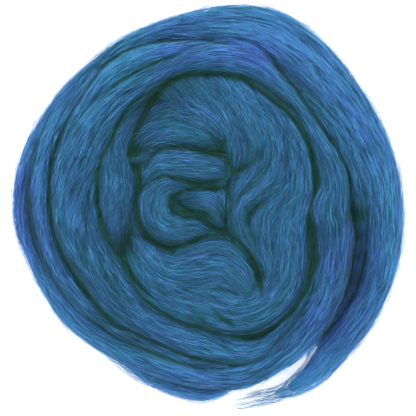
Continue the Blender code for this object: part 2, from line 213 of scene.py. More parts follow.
# Its unevenness between the fibres: how many waves to a metre along the band and across it, which
# waves they are, and how far the crimps go
BODY_CRIMPS = ((190.0, 260.0, 1.0, 0.0012), (60.0, 120.0, 2.0, 0.0020))
BODY_STREAKS = (85.0, 2500.0, 3.0)
BODY_LOCKS = (30.0, 420.0, 4.0)
BODY_HUES = (16.0, 150.0, 5.0)
BODY_STREAK_LEVEL = 0.9
BODY_LOCK_LEVEL = 0.45
BODY_BUMP = dict(Strength=0.7, Distance=0.0006)

# The dye, as linear colours. HUES runs from teal to royal blue. SHADE_AND_TONE_LEVELS multiplies it,
# from the dark green painted shade of the hollows to pale fibres, and its end stands for MOST_LEVEL.
BODY_LEVEL = 0.62
MOST_LEVEL = 1.25
HUES = [
    (0.0, (0.060, 0.42, 0.62)),
    (0.5, (0.084, 0.345, 0.76)),
    (1.0, (0.105, 0.25, 0.85)),
]
SHADE_AND_TONE_LEVELS = [
    (0.0, (0.12, 0.17, 0.035)),
    (0.16, (0.20, 0.24, 0.11)),
    (0.32, (0.33, 0.36, 0.30)),
    (0.48, (0.53, 0.52, 0.50)),
    (0.64, (0.76, 0.76, 0.76)),
    (0.8, (1.14, 1.12, 1.05)),
    (1.0, (1.50, 1.42, 1.15)),
]

# The picture
CAMERA_LENS = 200.0
CAMERA_SENSOR = 36.0
PICTURE_WIDTH = 0.208  # that the photograph takes in, at the height below
PICTURE_HEIGHT = 0.026
PICTURE_MIDDLE = ((0.0 - MIDDLE[0]) * MM, (-1.5 - MIDDLE[1]) * MM)
FLOOR_SIZE = 3.0
FLOOR_DROP = 0.0002
FLOOR = {
    "Base Color": (0.6, 0.6, 0.6, 1.0), "Roughness": 0.9, "Emission Color": (1.0, 1.0, 1.0, 1.0),
    "Emission Strength": 0.7,
}
LIGHTS = [
    # name, place, size, power
    ("key", (-0.5, 0.6, 1.1), 0.7, 5.0),
    ("fill", (0.8, -0.5, 0.9), 0.9, 3.0),
]
ROOM_LIGHT = {"Color": (1.0, 1.0, 1.0, 1.0), "Strength": 0.9}

# Each row: x, y of the band's middle, its width, and the height of its crown.
OUTER_TURN = [
    (60, -75.6, 15.9, 17), (71.7, -61.3, 16.8, 18.5), (80, -47.8, 16, 21), (86, -30.2, 17, 25),
    (88.1, -10, 17.7, 29), (85.1, 12.2, 20, 32), (75.6, 34.2, 23.7, 34), (64, 52.6, 25.5, 34),
    (48.7, 70.2, 27.7, 34), (30.9, 83.6, 26.2, 34), (13, 88.6, 21.2, 33), (-4, 88.6, 15.8, 32),
    (-23.7, 86, 9.6, 31), (-41.1, 78.6, 9.2, 30), (-57.3, 66.2, 9, 30), (-69.6, 53.7, 10, 30),
    (-80, 38.5, 10.5, 30), (-87.9, 22.5, 9.8, 30), (-92, 5, 9, 30), (-91, -11.4, 9, 29),
    (-85.3, -26.2, 9.6, 29), (-77.6, -40.7, 10.9, 29), (-66.9, -54.4, 13.3, 29), (-52.6, -65.4, 13.9, 29),
    (-36.4, -73.6, 16, 29), (-19, -80, 17, 30), (-1.5, -84.5, 14.5, 30), (16, -84.5, 13.9, 31),
    (31.6, -77.2, 13.4, 32), (44.2, -67.2, 15.4, 34),
]
SECOND_TURN = [
    (51.7, -56.3, 17.6, 36), (57.3, -46.9, 16.4, 37.5), (59.9, -37, 18.6, 38), (61.4, -29.7, 19, 38.5),
    (62.2, -20.8, 19.8, 39), (61.7, -11.9, 20.6, 39.5), (60.5, -4.5, 19.6, 40), (60.9, 2, 18.2, 40),
    (61.7, 7.9, 16.2, 40), (60.9, 15.3, 14.6, 40), (58.1, 24.2, 12.1, 40), (54.5, 31.6, 9.4, 39.5),
    (50.9, 39.5, 8.4, 39), (46.2, 47.9, 7.8, 39), (40.5, 54.3, 8.6, 39.5), (34.1, 60.2, 10.4, 40),
    (26.7, 66.2, 13.2, 41), (17.3, 71.1, 15.4, 42), (4, 72.8, 15.2, 42), (-7.9, 70.7, 13.6, 41.5),
    (-20.3, 66, 13, 41), (-32.9, 58.7, 14.5, 41), (-46.7, 48.7, 19.6, 41), (-57.3, 34.6, 23.1, 41),
    (-64.2, 18.3, 25.2, 41), (-66.2, 2.5, 25.2, 40), (-63.5, -13.3, 26, 40), (-54.9, -28.6, 25.2, 40),
    (-41.5, -46.2, 24.1, 39), (-23.2, -59.3, 20.6, 38), (-3, -66.2, 21.6, 37), (14.8, -72.1, 14.6, 36),
    (27.2, -69.2, 12.6, 35), (36.1, -59.8, 8.6, 34), (44, -47.9, 6.6, 32), (48, -38.1, 5.6, 28),
]
# Locks that part from the turns and lie beside them
LEFT_LOCK = [
    (-70.5, 51, 4, 31), (-76.3, 41, 7.5, 33), (-81.6, 27.5, 9.3, 34), (-84.5, 11.5, 10.6, 34),
    (-84.1, -3.2, 10.4, 34), (-81, -18, 10, 34), (-74.9, -32, 9.6, 33.5), (-67.6, -42.8, 8.8, 33),
    (-59.2, -51.8, 8, 32), (-50, -60, 5, 30),
]
TOP_LOCK = [
    (13.8, 79, 3.6, 34), (0, 79, 4.6, 37), (-11.9, 77.6, 7.6, 38.5), (-22.2, 75.7, 9.8, 39),
    (-35.5, 71.7, 11.8, 39), (-46.6, 65.5, 12.1, 39), (-52.9, 60, 11.4, 39), (-59, 51.2, 11.1, 38.5),
    (-64.7, 41.5, 9.6, 38), (-69, 32.6, 7.6, 37), (-72.1, 22.7, 4.6, 35),
]
BOTTOM_LOCK = [
    (-42, -76.5, 5, 16), (-32, -83, 8.5, 19), (-20, -88.8, 9.6, 21), (-8, -92.3, 10.4, 22),
    (1.5, -92.6, 9.6, 22), (10, -89.5, 7, 21), (20, -85.5, 4, 18),
]
TURN_SWELL = [
    (61, 12, 5, 38), (57.3, 6, 9, 40.4), (54.6, -0.5, 10, 41), (54.8, -6.5, 9, 40.6), (58, -13, 6, 38.6),
]
# The band's folds inside the second turn
LEFT_FOLD = [
    (-11.4, 61.7, 5, 34), (-22.2, 56.3, 6, 36), (-32.1, 48.4, 8, 37), (-39.8, 39.5, 10.5, 38),
    (-45.2, 29.6, 15, 39), (-46.4, 18.3, 20, 40), (-45.6, 7.4, 23, 40), (-46.2, -4, 21.4, 39),
    (-45, -15.3, 16, 37), (-42, -24.2, 9, 33),
]
UPPER_FOLD = [
    (-36.6, 22.2, 8, 33), (-34.1, 29.6, 13, 37), (-26.2, 35, 17, 39.5), (-12.8, 36.7, 18.6, 40),
    (-1, 34.1, 16, 39.5), (7.4, 29.1, 9, 36),
]
UPPER_HOLLOW = [
    (-31.1, 38.5, 9, 37), (-24.7, 44.4, 16, 39.3), (-12.8, 46.9, 22, 40.6), (0, 43, 23, 41.2),
    (7.9, 33.6, 14, 40.3),
]
FAN_FIRST = [
    (-27, 63, 10, 36), (-22, 58, 14, 39.2), (-13, 50.5, 17, 40.3), (-1, 42.5, 17, 41), (8, 33, 11, 40.2),
]
FAN_SECOND = [
    (-20, 66, 9, 36), (-15.5, 60.5, 13, 39.6), (-9, 54.5, 15, 40.5), (-1, 47.5, 15, 41.2),
    (7, 39, 12, 41),
]
FAN_LEFT = [
    (-11.5, 68, 13, 36), (-8, 62.5, 17, 39.6), (-3.4, 57.5, 18, 40.5), (3, 52, 20, 41.2),
    (9.6, 44, 21, 41.8), (14.2, 34.5, 19, 42), (15.8, 25.5, 17, 41.8), (13.8, 17.3, 9, 39.5),
]
FAN_THIRD = [
    (-2.5, 69, 9, 36), (2.5, 63.5, 14, 39.8), (7, 57.5, 16, 40.8), (12, 49, 16, 41.8),
    (17, 39.5, 13, 41.8),
]
FAN_MIDDLE = [
    (5, 70, 15, 36), (9.5, 63.5, 18, 39.8), (13.6, 57, 21, 41), (18.4, 50, 23, 42), (23.4, 40.5, 25, 43),
    (27.1, 31, 24, 42.9), (25.6, 21.4, 21, 42.6), (20.8, 13.8, 15, 42), (15.8, 6.9, 11, 41.5),
    (12.8, 0, 7.5, 39.5), (11.4, -7.4, 5, 37),
]
FAN_BEND = [
    (14.5, 66, 11, 36), (20.4, 57.5, 14, 39.6), (26.4, 50, 16, 41.2), (32.5, 39.5, 18, 42.5),
    (36.4, 27, 19, 42.9), (33.4, 14.8, 16, 43), (25.3, 7, 12.5, 43.3), (17.4, 0, 11.5, 42.8),
    (14.9, -8.5, 10.8, 42.3), (17.3, -15.5, 10.5, 42), (22, -23, 9.5, 41.5), (27.5, -33, 8, 40.5),
    (30.5, -42, 6, 38),
]
FAN_HOLLOW = [
    (43.5, 16.8, 12, 42.2), (37.5, 5.9, 18, 42.6), (29.6, -4.8, 23, 42.6), (28.8, -16.3, 23, 42.4),
    (30.6, -28.2, 19, 42), (31.6, -39.5, 14, 41), (27.7, -48.4, 9, 39),
]
FAN_RIGHT = [
    (19.8, 56.3, 6, 34), (27.7, 50.4, 9, 38.5), (35.8, 43, 11, 41), (41, 33.6, 14.2, 42),
    (43.8, 19.7, 15.7, 42.5), (43.8, 5.9, 18.2, 42.5), (40.5, -6.9, 17.6, 42.5), (39, -19.8, 21, 42.5),
    (38.2, -31.6, 22, 42.5), (33.1, -43, 24, 42.3), (24.7, -50.9, 24, 42.9), (12.8, -52.9, 25, 43.1),
    (0, -48.4, 27, 43.2), (-13.8, -43.5, 27, 43), (-27.2, -36.6, 21, 42), (-35.6, -26.7, 12.5, 39),
    (-39.5, -17.8, 6, 34),
]
LOWER_LOOP = [
    (26.7, -48.4, 5, 36), (21.2, -43, 12, 41), (14.3, -35.6, 21, 43.8), (5.4, -30.4, 27, 44.5),
    (-6.4, -31.6, 26, 44.5), (-18.3, -32.6, 21, 43.5), (-27.7, -26.7, 15, 42), (-33.6, -18.8, 9, 40),
    (-36.6, -12.4, 5, 35),
]
MIDDLE_BAR = [
    (9.9, 15.4, 7, 37), (3, 17.8, 14.5, 42.5), (-6.4, 19, 16, 44), (-16.3, 20, 15, 44),
    (-24.7, 19.5, 12, 44), (-30.1, 13.3, 8, 42), (-32.6, 5.4, 4, 38),
]
MIDDLE_CURL = [
    (-4, 9.4, 5, 36), (-12.8, 10.4, 8, 40), (-22.2, 8.4, 13, 43), (-26.7, 0.5, 16.5, 45),
    (-23.7, -8.9, 16.5, 45), (-14.3, -12.9, 15.5, 44), (-4.9, -11.9, 10.5, 41), (2, -13.8, 5, 36),
]
INNER_TUCK = [
    (-17.8, -0.5, 8, 37), (-13.8, 2.6, 10, 39.5), (-5.9, 2, 12, 41), (1.5, 0.9, 13.4, 41.4),
    (5.9, -5, 11, 39.5), (7.9, -10.9, 7, 37),
]
INNER_SLIP = [
    (4.4, 7.9, 5, 38), (7.9, 2.9, 6, 41.5), (8.4, -4, 5, 40), (6.9, -8.9, 3.5, 35),
]
# Wool that closes the hollows from below
RIGHT_HOLLOW = [
    (-34.6, 33.6, 7, 37), (-28.7, 48.4, 8, 37), (-19.8, 58.8, 8, 37), (-7.9, 62.7, 8, 37.5),
    (4, 63.2, 8, 38), (17.8, 60.7, 8, 38), (30.6, 53.3, 8, 37.5), (41, 43.5, 8, 37.5),
    (46.9, 33.6, 8, 37.5), (50.4, 21.7, 9, 37.5), (51.9, 7.9, 10, 37.5), (51.9, -7.9, 11, 37),
    (51.4, -23.7, 12, 37), (48.9, -37.6, 12, 37), (42, -50.4, 12, 36.5), (30.6, -61.8, 11, 36),
    (19.8, -66.2, 9, 35.5),
]
LEFT_HOLLOW = [
    (13, 24.6, 7, 38.2), (12, 12, 7, 38.2), (9.5, 0, 8, 38.2), (8.3, -10.5, 11.5, 38.4),
    (2, -14.8, 11.5, 38.2), (-8.9, -19.3, 9, 38), (-19.8, -21.3, 9, 37.6), (-30.6, -16.8, 9, 37.6),
    (-35.6, -7.9, 9, 37.6), (-36.1, 5.9, 9, 37.6), (-35.4, 17, 8.5, 37.6), (-34.8, 24, 7, 37.6),
]
TURN_HOLLOW = [
    (46, 55, 6, 34), (53, 49, 7.5, 35), (60, 40.5, 9, 35), (65, 33, 9.5, 34.5), (69.5, 22.5, 10, 34),
    (73.5, 11, 10, 32), (75.5, -4, 11, 28.5), (75.5, -18, 12.5, 25), (72.5, -33, 13, 22),
    (67, -47, 12, 19), (62.6, -58.6, 6.5, 17),
]
BAR_HOLLOW = [
    (-33.5, 22.2, 6, 37.6), (-29.2, 24, 7.5, 38.2), (-18.6, 27.3, 7.5, 38.5), (-5.8, 26.4, 8, 38.1),
    (3, 25.7, 9, 38.4), (10.5, 24, 8, 38.6),
]
FOLD_HOLLOW = [
    (9, 24.5, 7, 38), (7.7, 30, 7, 38), (5.5, 36, 5, 38),
]
CURL_HOLLOW = [
    (-25.7, 11.3, 5, 38.5), (-11.9, 11.3, 6, 38.5), (0, 9.6, 7.5, 38.2), (7.9, 9.6, 7.5, 38.2),
    (12.8, 14, 6, 38.3),
]
TUCK_HOLLOW = [
    (-18.8, 1, 6, 38.5), (-12.8, -2, 8, 38.6), (-5, -6, 8.5, 38.6), (2, -9.5, 9, 38.5),
    (7.5, -13, 9, 38.4), (12, -16.4, 8, 38.2),
]
BOTTOM_HOLLOW = [
    (-59, -49, 6, 33), (-48, -59, 8, 33.8), (-38, -64.5, 8, 34), (-25, -70, 7.5, 34),
    (-10, -75.8, 6.5, 33.5), (1, -78.2, 4.5, 32.6), (10, -79.6, 2.5, 31.5),
]
TOP_HOLLOW = [
    (-54, 66, 6, 34), (-61, 57, 7, 34), (-67.5, 47, 7.5, 33.5), (-73.5, 36, 7.5, 33.5),
    (-77.8, 24, 6, 33),
]
BEND_HOLLOW = [
    (3, 80.6, 3.5, 34), (11, 79.6, 6.5, 37.2), (19, 77.2, 8.5, 38.2), (26, 73.2, 8, 38),
    (31.5, 68.6, 5, 36),
]
# The grooves between the bands and in them, which also get painted shade along them. Each row: x, y, half
# the groove's width, its depth.
CREASES = [
    [  # round the fan and the folds in the middle
        (-39.6, 23.7, 0.8, 0.9), (-36.6, 33.6, 0.86, 1.2), (-32.6, 43, 0.99, 1.5),
        (-26.2, 53.4, 1.19, 1.8), (-19.8, 60.3, 1.26, 1.95), (-10.9, 63.9, 1.13, 1.95),
        (4, 64.5, 0.99, 2.1), (10.9, 63.7, 1.06, 2.1), (18.3, 61.9, 1.06, 2.1), (25.25, 56.99, 0.99, 2.1),
        (31.63, 52.26, 0.99, 2.1), (37.42, 47.73, 0.93, 2.1), (41.73, 42.71, 0.86, 1.95),
        (45.05, 37.4, 0.64, 1.62), (49.5, 28.9, 0.58, 1.62), (51.4, 21.2, 0.58, 1.75),
        (52.8, 13.8, 0.64, 1.75), (52.9, 6.4, 0.53, 1.62), (51, 0.8, 0.35, 0.3), (50.1, -5, 0.35, 0.3),
        (50.7, -11.4, 0.79, 1.89), (51.6, -17.8, 1.01, 2.16), (52, -24.2, 0.95, 2.16),
        (51.4, -31.2, 1.06, 2.25), (50.3, -37.1, 0.86, 1.95), (48.4, -42.5, 0.86, 1.95),
        (43, -50.5, 0.86, 1.8), (36.9, -56.9, 0.86, 1.8), (30.7, -61.8, 0.99, 1.8),
        (25.2, -65.3, 1.06, 1.95), (19.3, -66.3, 0.99, 1.8), (12.4, -64.7, 0.47, 0.6),
    ],
    [  # outside the second turn, at the top right
        (28.5, 73.2, 0.3, 0.2), (31.5, 70.2, 0.6, 0.9), (33.6, 68.2, 0.8, 1.65), (38.6, 62.9, 0.73, 1.5),
        (43.7, 56.6, 0.8, 1.5), (49.6, 49.2, 0.86, 1.5), (54, 41.7, 0.59, 1.2), (57.4, 36.1, 0.4, 0.75),
        (60.8, 30.4, 0.4, 0.75), (65.7, 24.2, 0.53, 1.2), (69, 18.3, 0.73, 1.5), (70.6, 10.9, 0.73, 1.5),
        (70.8, 3.9, 0.66, 0.9),
    ],
    [  # outside the top and the left locks, and on along the bottom
        (12.5, 79.3, 0.3, 0.1), (7.5, 79.9, 0.45, 0.8), (2.9, 80.7, 0.59, 1.2), (-4, 81.5, 0.4, 0.75),
        (-13.8, 81.2, 0.33, 0.6), (-23.7, 80.5, 0.4, 0.6), (-32.6, 79.3, 0.47, 0.75),
        (-40.5, 76.5, 0.66, 1.2), (-50.1, 70, 0.8, 1.5), (-56.2, 63.3, 0.73, 1.5),
        (-61.8, 54.6, 0.59, 1.2), (-67.6, 45.5, 0.66, 1.5), (-72.6, 36.1, 0.66, 1.35),
        (-76.2, 26.2, 0.59, 1.2), (-77.9, 16.3, 0.59, 1.5), (-78.3, 7.9, 0.59, 1.5),
        (-77.9, -2, 0.59, 1.35), (-76.4, -12.4, 0.66, 1.35), (-73.7, -21.6, 0.73, 1.5),
        (-69.9, -29.2, 0.73, 1.5), (-64.3, -37.8, 0.66, 1.35), (-58.2, -46.9, 0.86, 1.35),
        (-53, -53.8, 1.13, 1.5), (-47.5, -59, 0.86, 1.65), (-39.6, -62.3, 0.73, 1.5),
        (-29.6, -66.6, 0.8, 1.65), (-20.8, -70.4, 0.73, 1.5), (-12.1, -74.1, 0.8, 1.5),
        (-3.4, -76.8, 0.73, 1.2), (5.3, -78.7, 0.59, 0.9), (14, -79.7, 0.53, 0.75),
        (21.4, -78.5, 0.47, 0.6), (28.6, -74.1, 0.47, 0.6), (34.6, -67.7, 0.47, 0.6),
        (39.6, -59.9, 0.33, 0.3),
    ],
    [  # between the outer turn and the left lock
        (-80.1, 40.5, 0.59, 0.3), (-84.7, 29.7, 0.99, 0.6), (-88.3, 16.8, 1.33, 0.75),
        (-89.2, 4.9, 1.52, 0.9), (-87.9, -8.3, 1.52, 0.9), (-84.5, -21.3, 1.33, 0.75),
        (-78.9, -33, 1.06, 0.6), (-72.4, -41.7, 0.8, 0.45), (-64.9, -49.2, 0.66, 0.3),
    ],
    [  # under the top lock
        (-54.4, 51.4, 0.4, 0.3), (-48.5, 57.1, 0.59, 0.9), (-43, 61.2, 0.73, 1.05), (-36, 65, 0.73, 0.9),
        (-27.7, 69.4, 0.59, 0.9), (-19.5, 72.5, 0.59, 0.9), (-12.5, 74.6, 0.4, 0.3),
    ],
    [  # inside the second turn, on the left
        (-25.7, 58.3, 0.47, 0.3), (-32.6, 54.2, 0.59, 1.05), (-41.5, 45.9, 0.66, 1.5),
        (-47.5, 33, 0.59, 1.5), (-53.1, 20.8, 0.59, 1.35), (-54.7, 14.3, 0.59, 1.35),
        (-54.6, 3.5, 0.53, 1.2), (-53.1, -6.1, 0.59, 1.35), (-50.6, -15, 0.6, 1.2),
        (-46.5, -21.6, 0.6, 1.2), (-41.5, -27.7, 0.73, 1.35), (-37.6, -35.1, 0.8, 1.5),
        (-32.6, -41.1, 0.8, 1.2), (-26.7, -46, 0.47, 0.3),
    ],
    [  # a lock parting from the second turn, on the left
        (-55.9, 12.8, 0.3, 0.27), (-58.4, 6.9, 0.36, 0.54), (-59.8, -3, 0.36, 0.54),
        (-60.4, -12.6, 0.42, 0.63), (-59.7, -21.3, 0.48, 0.72), (-58.4, -27.2, 0.3, 0.18),
    ],
    [  # between the upper fold and the bar
        (-31.2, 18.3, 0.8, 1.5), (-28.5, 22.9, 0.66, 1.5), (-23.9, 26.9, 0.53, 1.5),
        (-17.5, 28.5, 0.53, 1.5), (-10.4, 27.8, 0.59, 1.8), (-4, 26.5, 1.04, 2.1), (1.4, 25.7, 1.64, 2.4),
        (5.4, 25.9, 1.55, 2.4), (6.9, 28.3, 0.86, 1.2),
    ],
    [  # between the bar's end and the fan
        (4.3, 36.4, 0.4, 0.45), (6, 30.4, 0.53, 1.2), (7.8, 24.6, 0.66, 1.8), (10.5, 19.9, 0.59, 1.8),
        (12.3, 16.2, 0.59, 1.8), (10.7, 11.9, 0.59, 1.8), (9.7, 6.4, 0.53, 1.8), (9, 1.1, 0.53, 1.8),
        (8.7, -4.9, 0.59, 1.8), (9.1, -10.7, 0.93, 2.1), (9.5, -14.1, 0.93, 1.8),
    ],
    [  # the fold in the fan's middle
        (12.3, 16.2, 0.8, 1.2), (16.6, 17.6, 1.3, 1), (21, 20.6, 1.7, 0.9), (25.2, 25, 1.7, 0.6),
        (27.4, 29.6, 1.3, 0.2),
    ],
    [  # between the curl and what it holds
        (-16.3, 4.7, 0.5, 0.5), (-12.4, 6.6, 0.6, 0.9), (-8, 7.9, 0.6, 1), (-4.5, 8.9, 0.5, 0.8),
    ],
    [  # between the bar and the curl
        (-28.7, 12.2, 0.4, 0.3), (-22.8, 14, 0.4, 0.45), (-15.8, 13.2, 0.4, 0.5), (-10.5, 11.7, 0.5, 0.8),
        (-5.5, 9.9, 0.7, 1.3), (0.2, 9.1, 0.9, 1.6), (6, 8.6, 0.8, 1.6), (9.6, 8.6, 0.6, 1.2),
    ],
    [  # in the tuck
        (6.4, 6.3, 0.26, 0.45), (7.3, 1.1, 0.33, 0.75), (7, -6, 0.4, 0.6),
    ],
    [  # under the tuck
        (-14.3, 1.2, 0.47, 0.9), (-10.3, -2.6, 0.73, 1.95), (-4.5, -6, 0.73, 2.1),
        (0.4, -9.7, 0.99, 2.25), (4.8, -12.1, 1.26, 2.4), (8.4, -13.3, 1.19, 2.1),
    ],
    [  # round the curl and along the lower loop
        (-37.1, 20.3, 1.06, 1.8), (-34.2, 15.3, 1.33, 2.25), (-34.2, 7.9, 0.99, 1.95),
        (-35.2, 0.5, 0.99, 1.95), (-34.2, -8.4, 0.93, 1.95), (-31.1, -14.7, 1.26, 2.25),
        (-25.7, -19, 0.99, 1.95), (-18.7, -21, 0.8, 1.8), (-11.6, -19.7, 0.53, 1.35),
        (-5.7, -17, 0.53, 1.2), (0.2, -15.2, 0.59, 1.35), (6, -14.5, 0.59, 1.35),
        (10.8, -15.2, 0.59, 1.35), (16.6, -19.4, 0.59, 1.5), (20.2, -24, 1.2, 1.95),
        (23.3, -30.8, 1.45, 2.25), (25.3, -37.8, 1.3, 2.1), (26.7, -44.3, 0.4, 0.9),
    ],
    [  # the soft fold in the fan
        (18.5, -9, 1, 0.2), (20, -4.6, 1.6, 0.5), (23.4, -1.2, 2, 0.7), (28.4, 1.6, 1.8, 0.6),
        (33.5, 5, 1.3, 0.4), (38, 10.4, 0.8, 0.3), (41.4, 16.3, 0.6, 0.2),
    ],
    [  # in the lower folds
        (1.5, -50, 0.5, 0.3), (5.4, -54.4, 1.1, 0.8), (9.9, -58.2, 1.1, 0.8), (14.2, -60.8, 0.6, 0.3),
    ],
    [  # a lock in the fan
        (33.2, -28.4, 0.26, 0.24), (34.9, -34.2, 0.4, 0.6), (35.2, -39.6, 0.26, 0.24),
    ],
]
# The loose end, from where it leaves the outer turn: all that its fibres cover, the wool under
# them, and the wisps it thins into
LOOSE_END = [
    (56.2, -82.6, 13, 13.5), (50.3, -88.2, 11, 10), (44.2, -92.4, 8.5, 7),
    (39.2, -95.4, 5, 4.5), (34, -97.6, 2.5, 3),
]
END_WOOL = [
    (63.2, -73.6, 13.5, 16), (60.4, -77.4, 13.5, 14.5), (56.2, -82.4, 11.4, 12), (51.2, -87.2, 9.4, 8.8),
    (46, -91, 6.6, 6), (41.5, -93.8, 3.5, 3.6),
]
WISPS = [
    [
        (57, -86, 7, 10), (51, -90.5, 6.5, 7.5), (44, -94, 5, 5.5), (35, -96.6, 4, 4.2),
        (25, -98.6, 3, 3.4), (13, -101, 1.5, 2.4),
    ],
    [
        (54, -88, 6, 8.5), (46, -93, 5, 6), (38, -97, 4, 4.2), (29, -100.5, 3, 3.2),
        (20, -102.4, 2, 2.6), (11, -103, 1, 2),
    ],
    [
        (50, -84.5, 4, 9), (45, -88.5, 4, 7), (40, -92, 3.5, 5.5), (34, -94.6, 3, 4.2),
        (26, -96, 2, 3.2), (18, -98, 1, 2.4),
    ],
    [(-50, -74, 3, 13), (-43, -81.5, 4, 10), (-35, -87.5, 4, 9), (-26, -91.5, 3, 8), (-18, -94, 2, 7)],
    [(-94, 20, 1.5, 20), (-96, 8, 2, 20), (-95.5, -8, 2, 18), (-91.5, -20, 1.5, 18)],
]
SOFT_BANDS = (
    FAN_HOLLOW, UPPER_HOLLOW, FAN_FIRST, FAN_SECOND, FAN_LEFT, FAN_THIRD, FAN_MIDDLE, FAN_BEND,
    TURN_HOLLOW, TUCK_HOLLOW, TURN_SWELL,
)
# Bands on which fibres are laid together: name, its bands, fibre length as a share
FIBRE_GROUPS = [
    ("outer", [LOOSE_END[::-1] + OUTER_TURN + SECOND_TURN[:3]], 1.0),
    ("lower", [LEFT_LOCK, BOTTOM_LOCK], 0.9),
    (
        "second",
        [SECOND_TURN, TOP_LOCK, TURN_SWELL, TURN_HOLLOW, BOTTOM_HOLLOW, TOP_HOLLOW, BEND_HOLLOW],
        0.9,
    ),
    (
        "fan",
        [
            FAN_FIRST, FAN_SECOND, FAN_LEFT, FAN_THIRD, FAN_MIDDLE, FAN_BEND, FAN_HOLLOW, FAN_RIGHT,
            LEFT_FOLD, RIGHT_HOLLOW,
        ],
        0.62,
    ),
    (
        "middle",
        [
            UPPER_FOLD, UPPER_HOLLOW, LOWER_LOOP, MIDDLE_BAR, MIDDLE_CURL, INNER_TUCK, INNER_SLIP,
            LEFT_HOLLOW, BAR_HOLLOW, FOLD_HOLLOW, CURL_HOLLOW, TUCK_HOLLOW,
        ],
        0.6,
    ),
]
DYE_AND_SHADING_PATCHES = [
    # x, y, radius, change of hue, change of level (painted light and shade in most patches, the dye's own
    # tone in a few), lean of the fibres across the band
    (22, 76, 13, 0.4, 0.06, 0), (0, 74, 25, 0, 0.11, 0), (-94, 13, 8.5, 0.4, -0.08, 0),
    (-94, -1, 8.5, 0.4, -0.08, 0), (-90, -16, 8, 0.35, -0.05, 0), (-82, 12, 7, -0.05, 0.08, 0),
    (-82, -3, 7, -0.05, 0.08, 0), (68, -22, 14, 0.4, 0.04, 0), (-38, 73, 18, -0.25, 0.06, 0),
    (-66, 0, 28, 0, 0, 0.28), (-25, 54, 10, 0.2, -0.28, 0), (-12, 61.5, 10, 0, -0.32, 0),
    (4, 63, 8, 0, -0.12, 0), (-10, -66, 16, 0, 0.08, 0), (-12.5, 1.5, 7, 0, -0.27, 0),
    (0, -1, 6, 0, -0.12, 0), (32.3, -37, 4.5, 0, -0.12, 0), (74.3, -4, 5.2, -0.1, -0.64, 0),
    (75.6, -14, 4.6, 0, -0.56, 0), (75.6, -24, 5, 0.1, -0.48, 0), (74, -34.5, 5.5, 0.3, -0.4, 0),
    (56.5, -14, 5, 0, -0.14, 0), (71, -44, 6, 0.3, -0.3, 0), (66, -56, 5, 0.2, -0.2, 0),
    (-55, -57, 15, 0, -0.12, 0), (49, -90, 12, 0, 0.85, 0), (-12, -90, 10, 0.15, 0.1, 0),
    (4, -91, 9, 0.15, 0.06, 0), (60, -59, 13, 0.4, 0, 0), (26, -99, 12, -0.4, 0, 0),
    (47.5, -86.5, 5, 0, 0.25, 0), (-18, 80, 13, 0.3, 0, 0), (16, 64, 8, -0.2, 0, 0),
    (-35, 40, 9, 0.25, 0, 0), (-45, -17, 8, 0.25, 0.05, 0), (12, -67, 11, 0, 0.12, 0),
    (-18, -57, 10, 0, 0.09, 0), (35, -57, 6, 0, 0.1, 0), (85, -40, 8, 0, -0.09, 0),
    (0, 26, 15, 0, -0.07, 0), (-10, -6, 13, 0, -0.06, 0), (25, -14, 9, 0, -0.07, 0),
    (50, 64, 7, 0, 0.09, 0), (45, 53, 6, 0, -0.09, 0), (-62, 0, 10, 0, 0.08, 0),
    (-60, -37, 10, 0, 0.08, 0), (-45, 23, 6, 0, -0.12, 0), (54, -75, 6, 0, 0.35, 0),
]


# ---- The bands, as arrays ----


def smooth_rows(rows, step):
    """The rows with more between them, on a curve through all of them, about a step apart."""
    ends = [rows[0], *rows, rows[-1]]
    found = []
    for before, start, end, after in zip(ends, ends[1:], ends[2:], ends[3:]):
        pieces = max(1, round(math.hypot(end[0] - start[0], end[1] - start[1]) / step))
        for i in range(pieces):
            t = i / pieces
            found.append(
                tuple(
                    b + 0.5 * t * (c - a + t * (2 * a - 5 * b + 4 * c - d + t * (3 * (b - c) + d - a)))
                    for a, b, c, d in zip(before, start, end, after)
                )
            )
    return [*found, rows[-1]]


def heading(rows, i):
    before, after = rows[max(i - 1, 0)], rows[min(i + 1, len(rows) - 1)]
    x, y = after[0] - before[0], after[1] - before[1]
    length = math.hypot(x, y)
    return x / length, y / length


def band_depth(width):
    return np.minimum(MOST_DEPTH, LEAST_DEPTH + DEPTH_PER_WIDTH * width)


def end_depth(width):
    return END_FLOOR + END_DEPTH * width


def lower_depth(width):
    return 2 * (LOWER_CROWN / 2 + SEAT_DEPTH) * width / LOWER_WIDTH


def lower_turn():
    rows = OUTER_TURN[LOWER_FIRST_ROW:]
    found = []
    for i, (x, y, width, _) in enumerate(rows):
        ahead = heading(rows, i)
        inward = (LOWER_WIDTH - width) / 2 + LOWER_INSET
        found.append((x - ahead[1] * inward, y + ahead[0] * inward, LOWER_WIDTH, LOWER_CROWN))
    crossing = [(x, y, LOWER_WIDTH, LOWER_CROWN) for x, y in LOWER_CROSSING]
    return [*found, *crossing, *found[:2]]


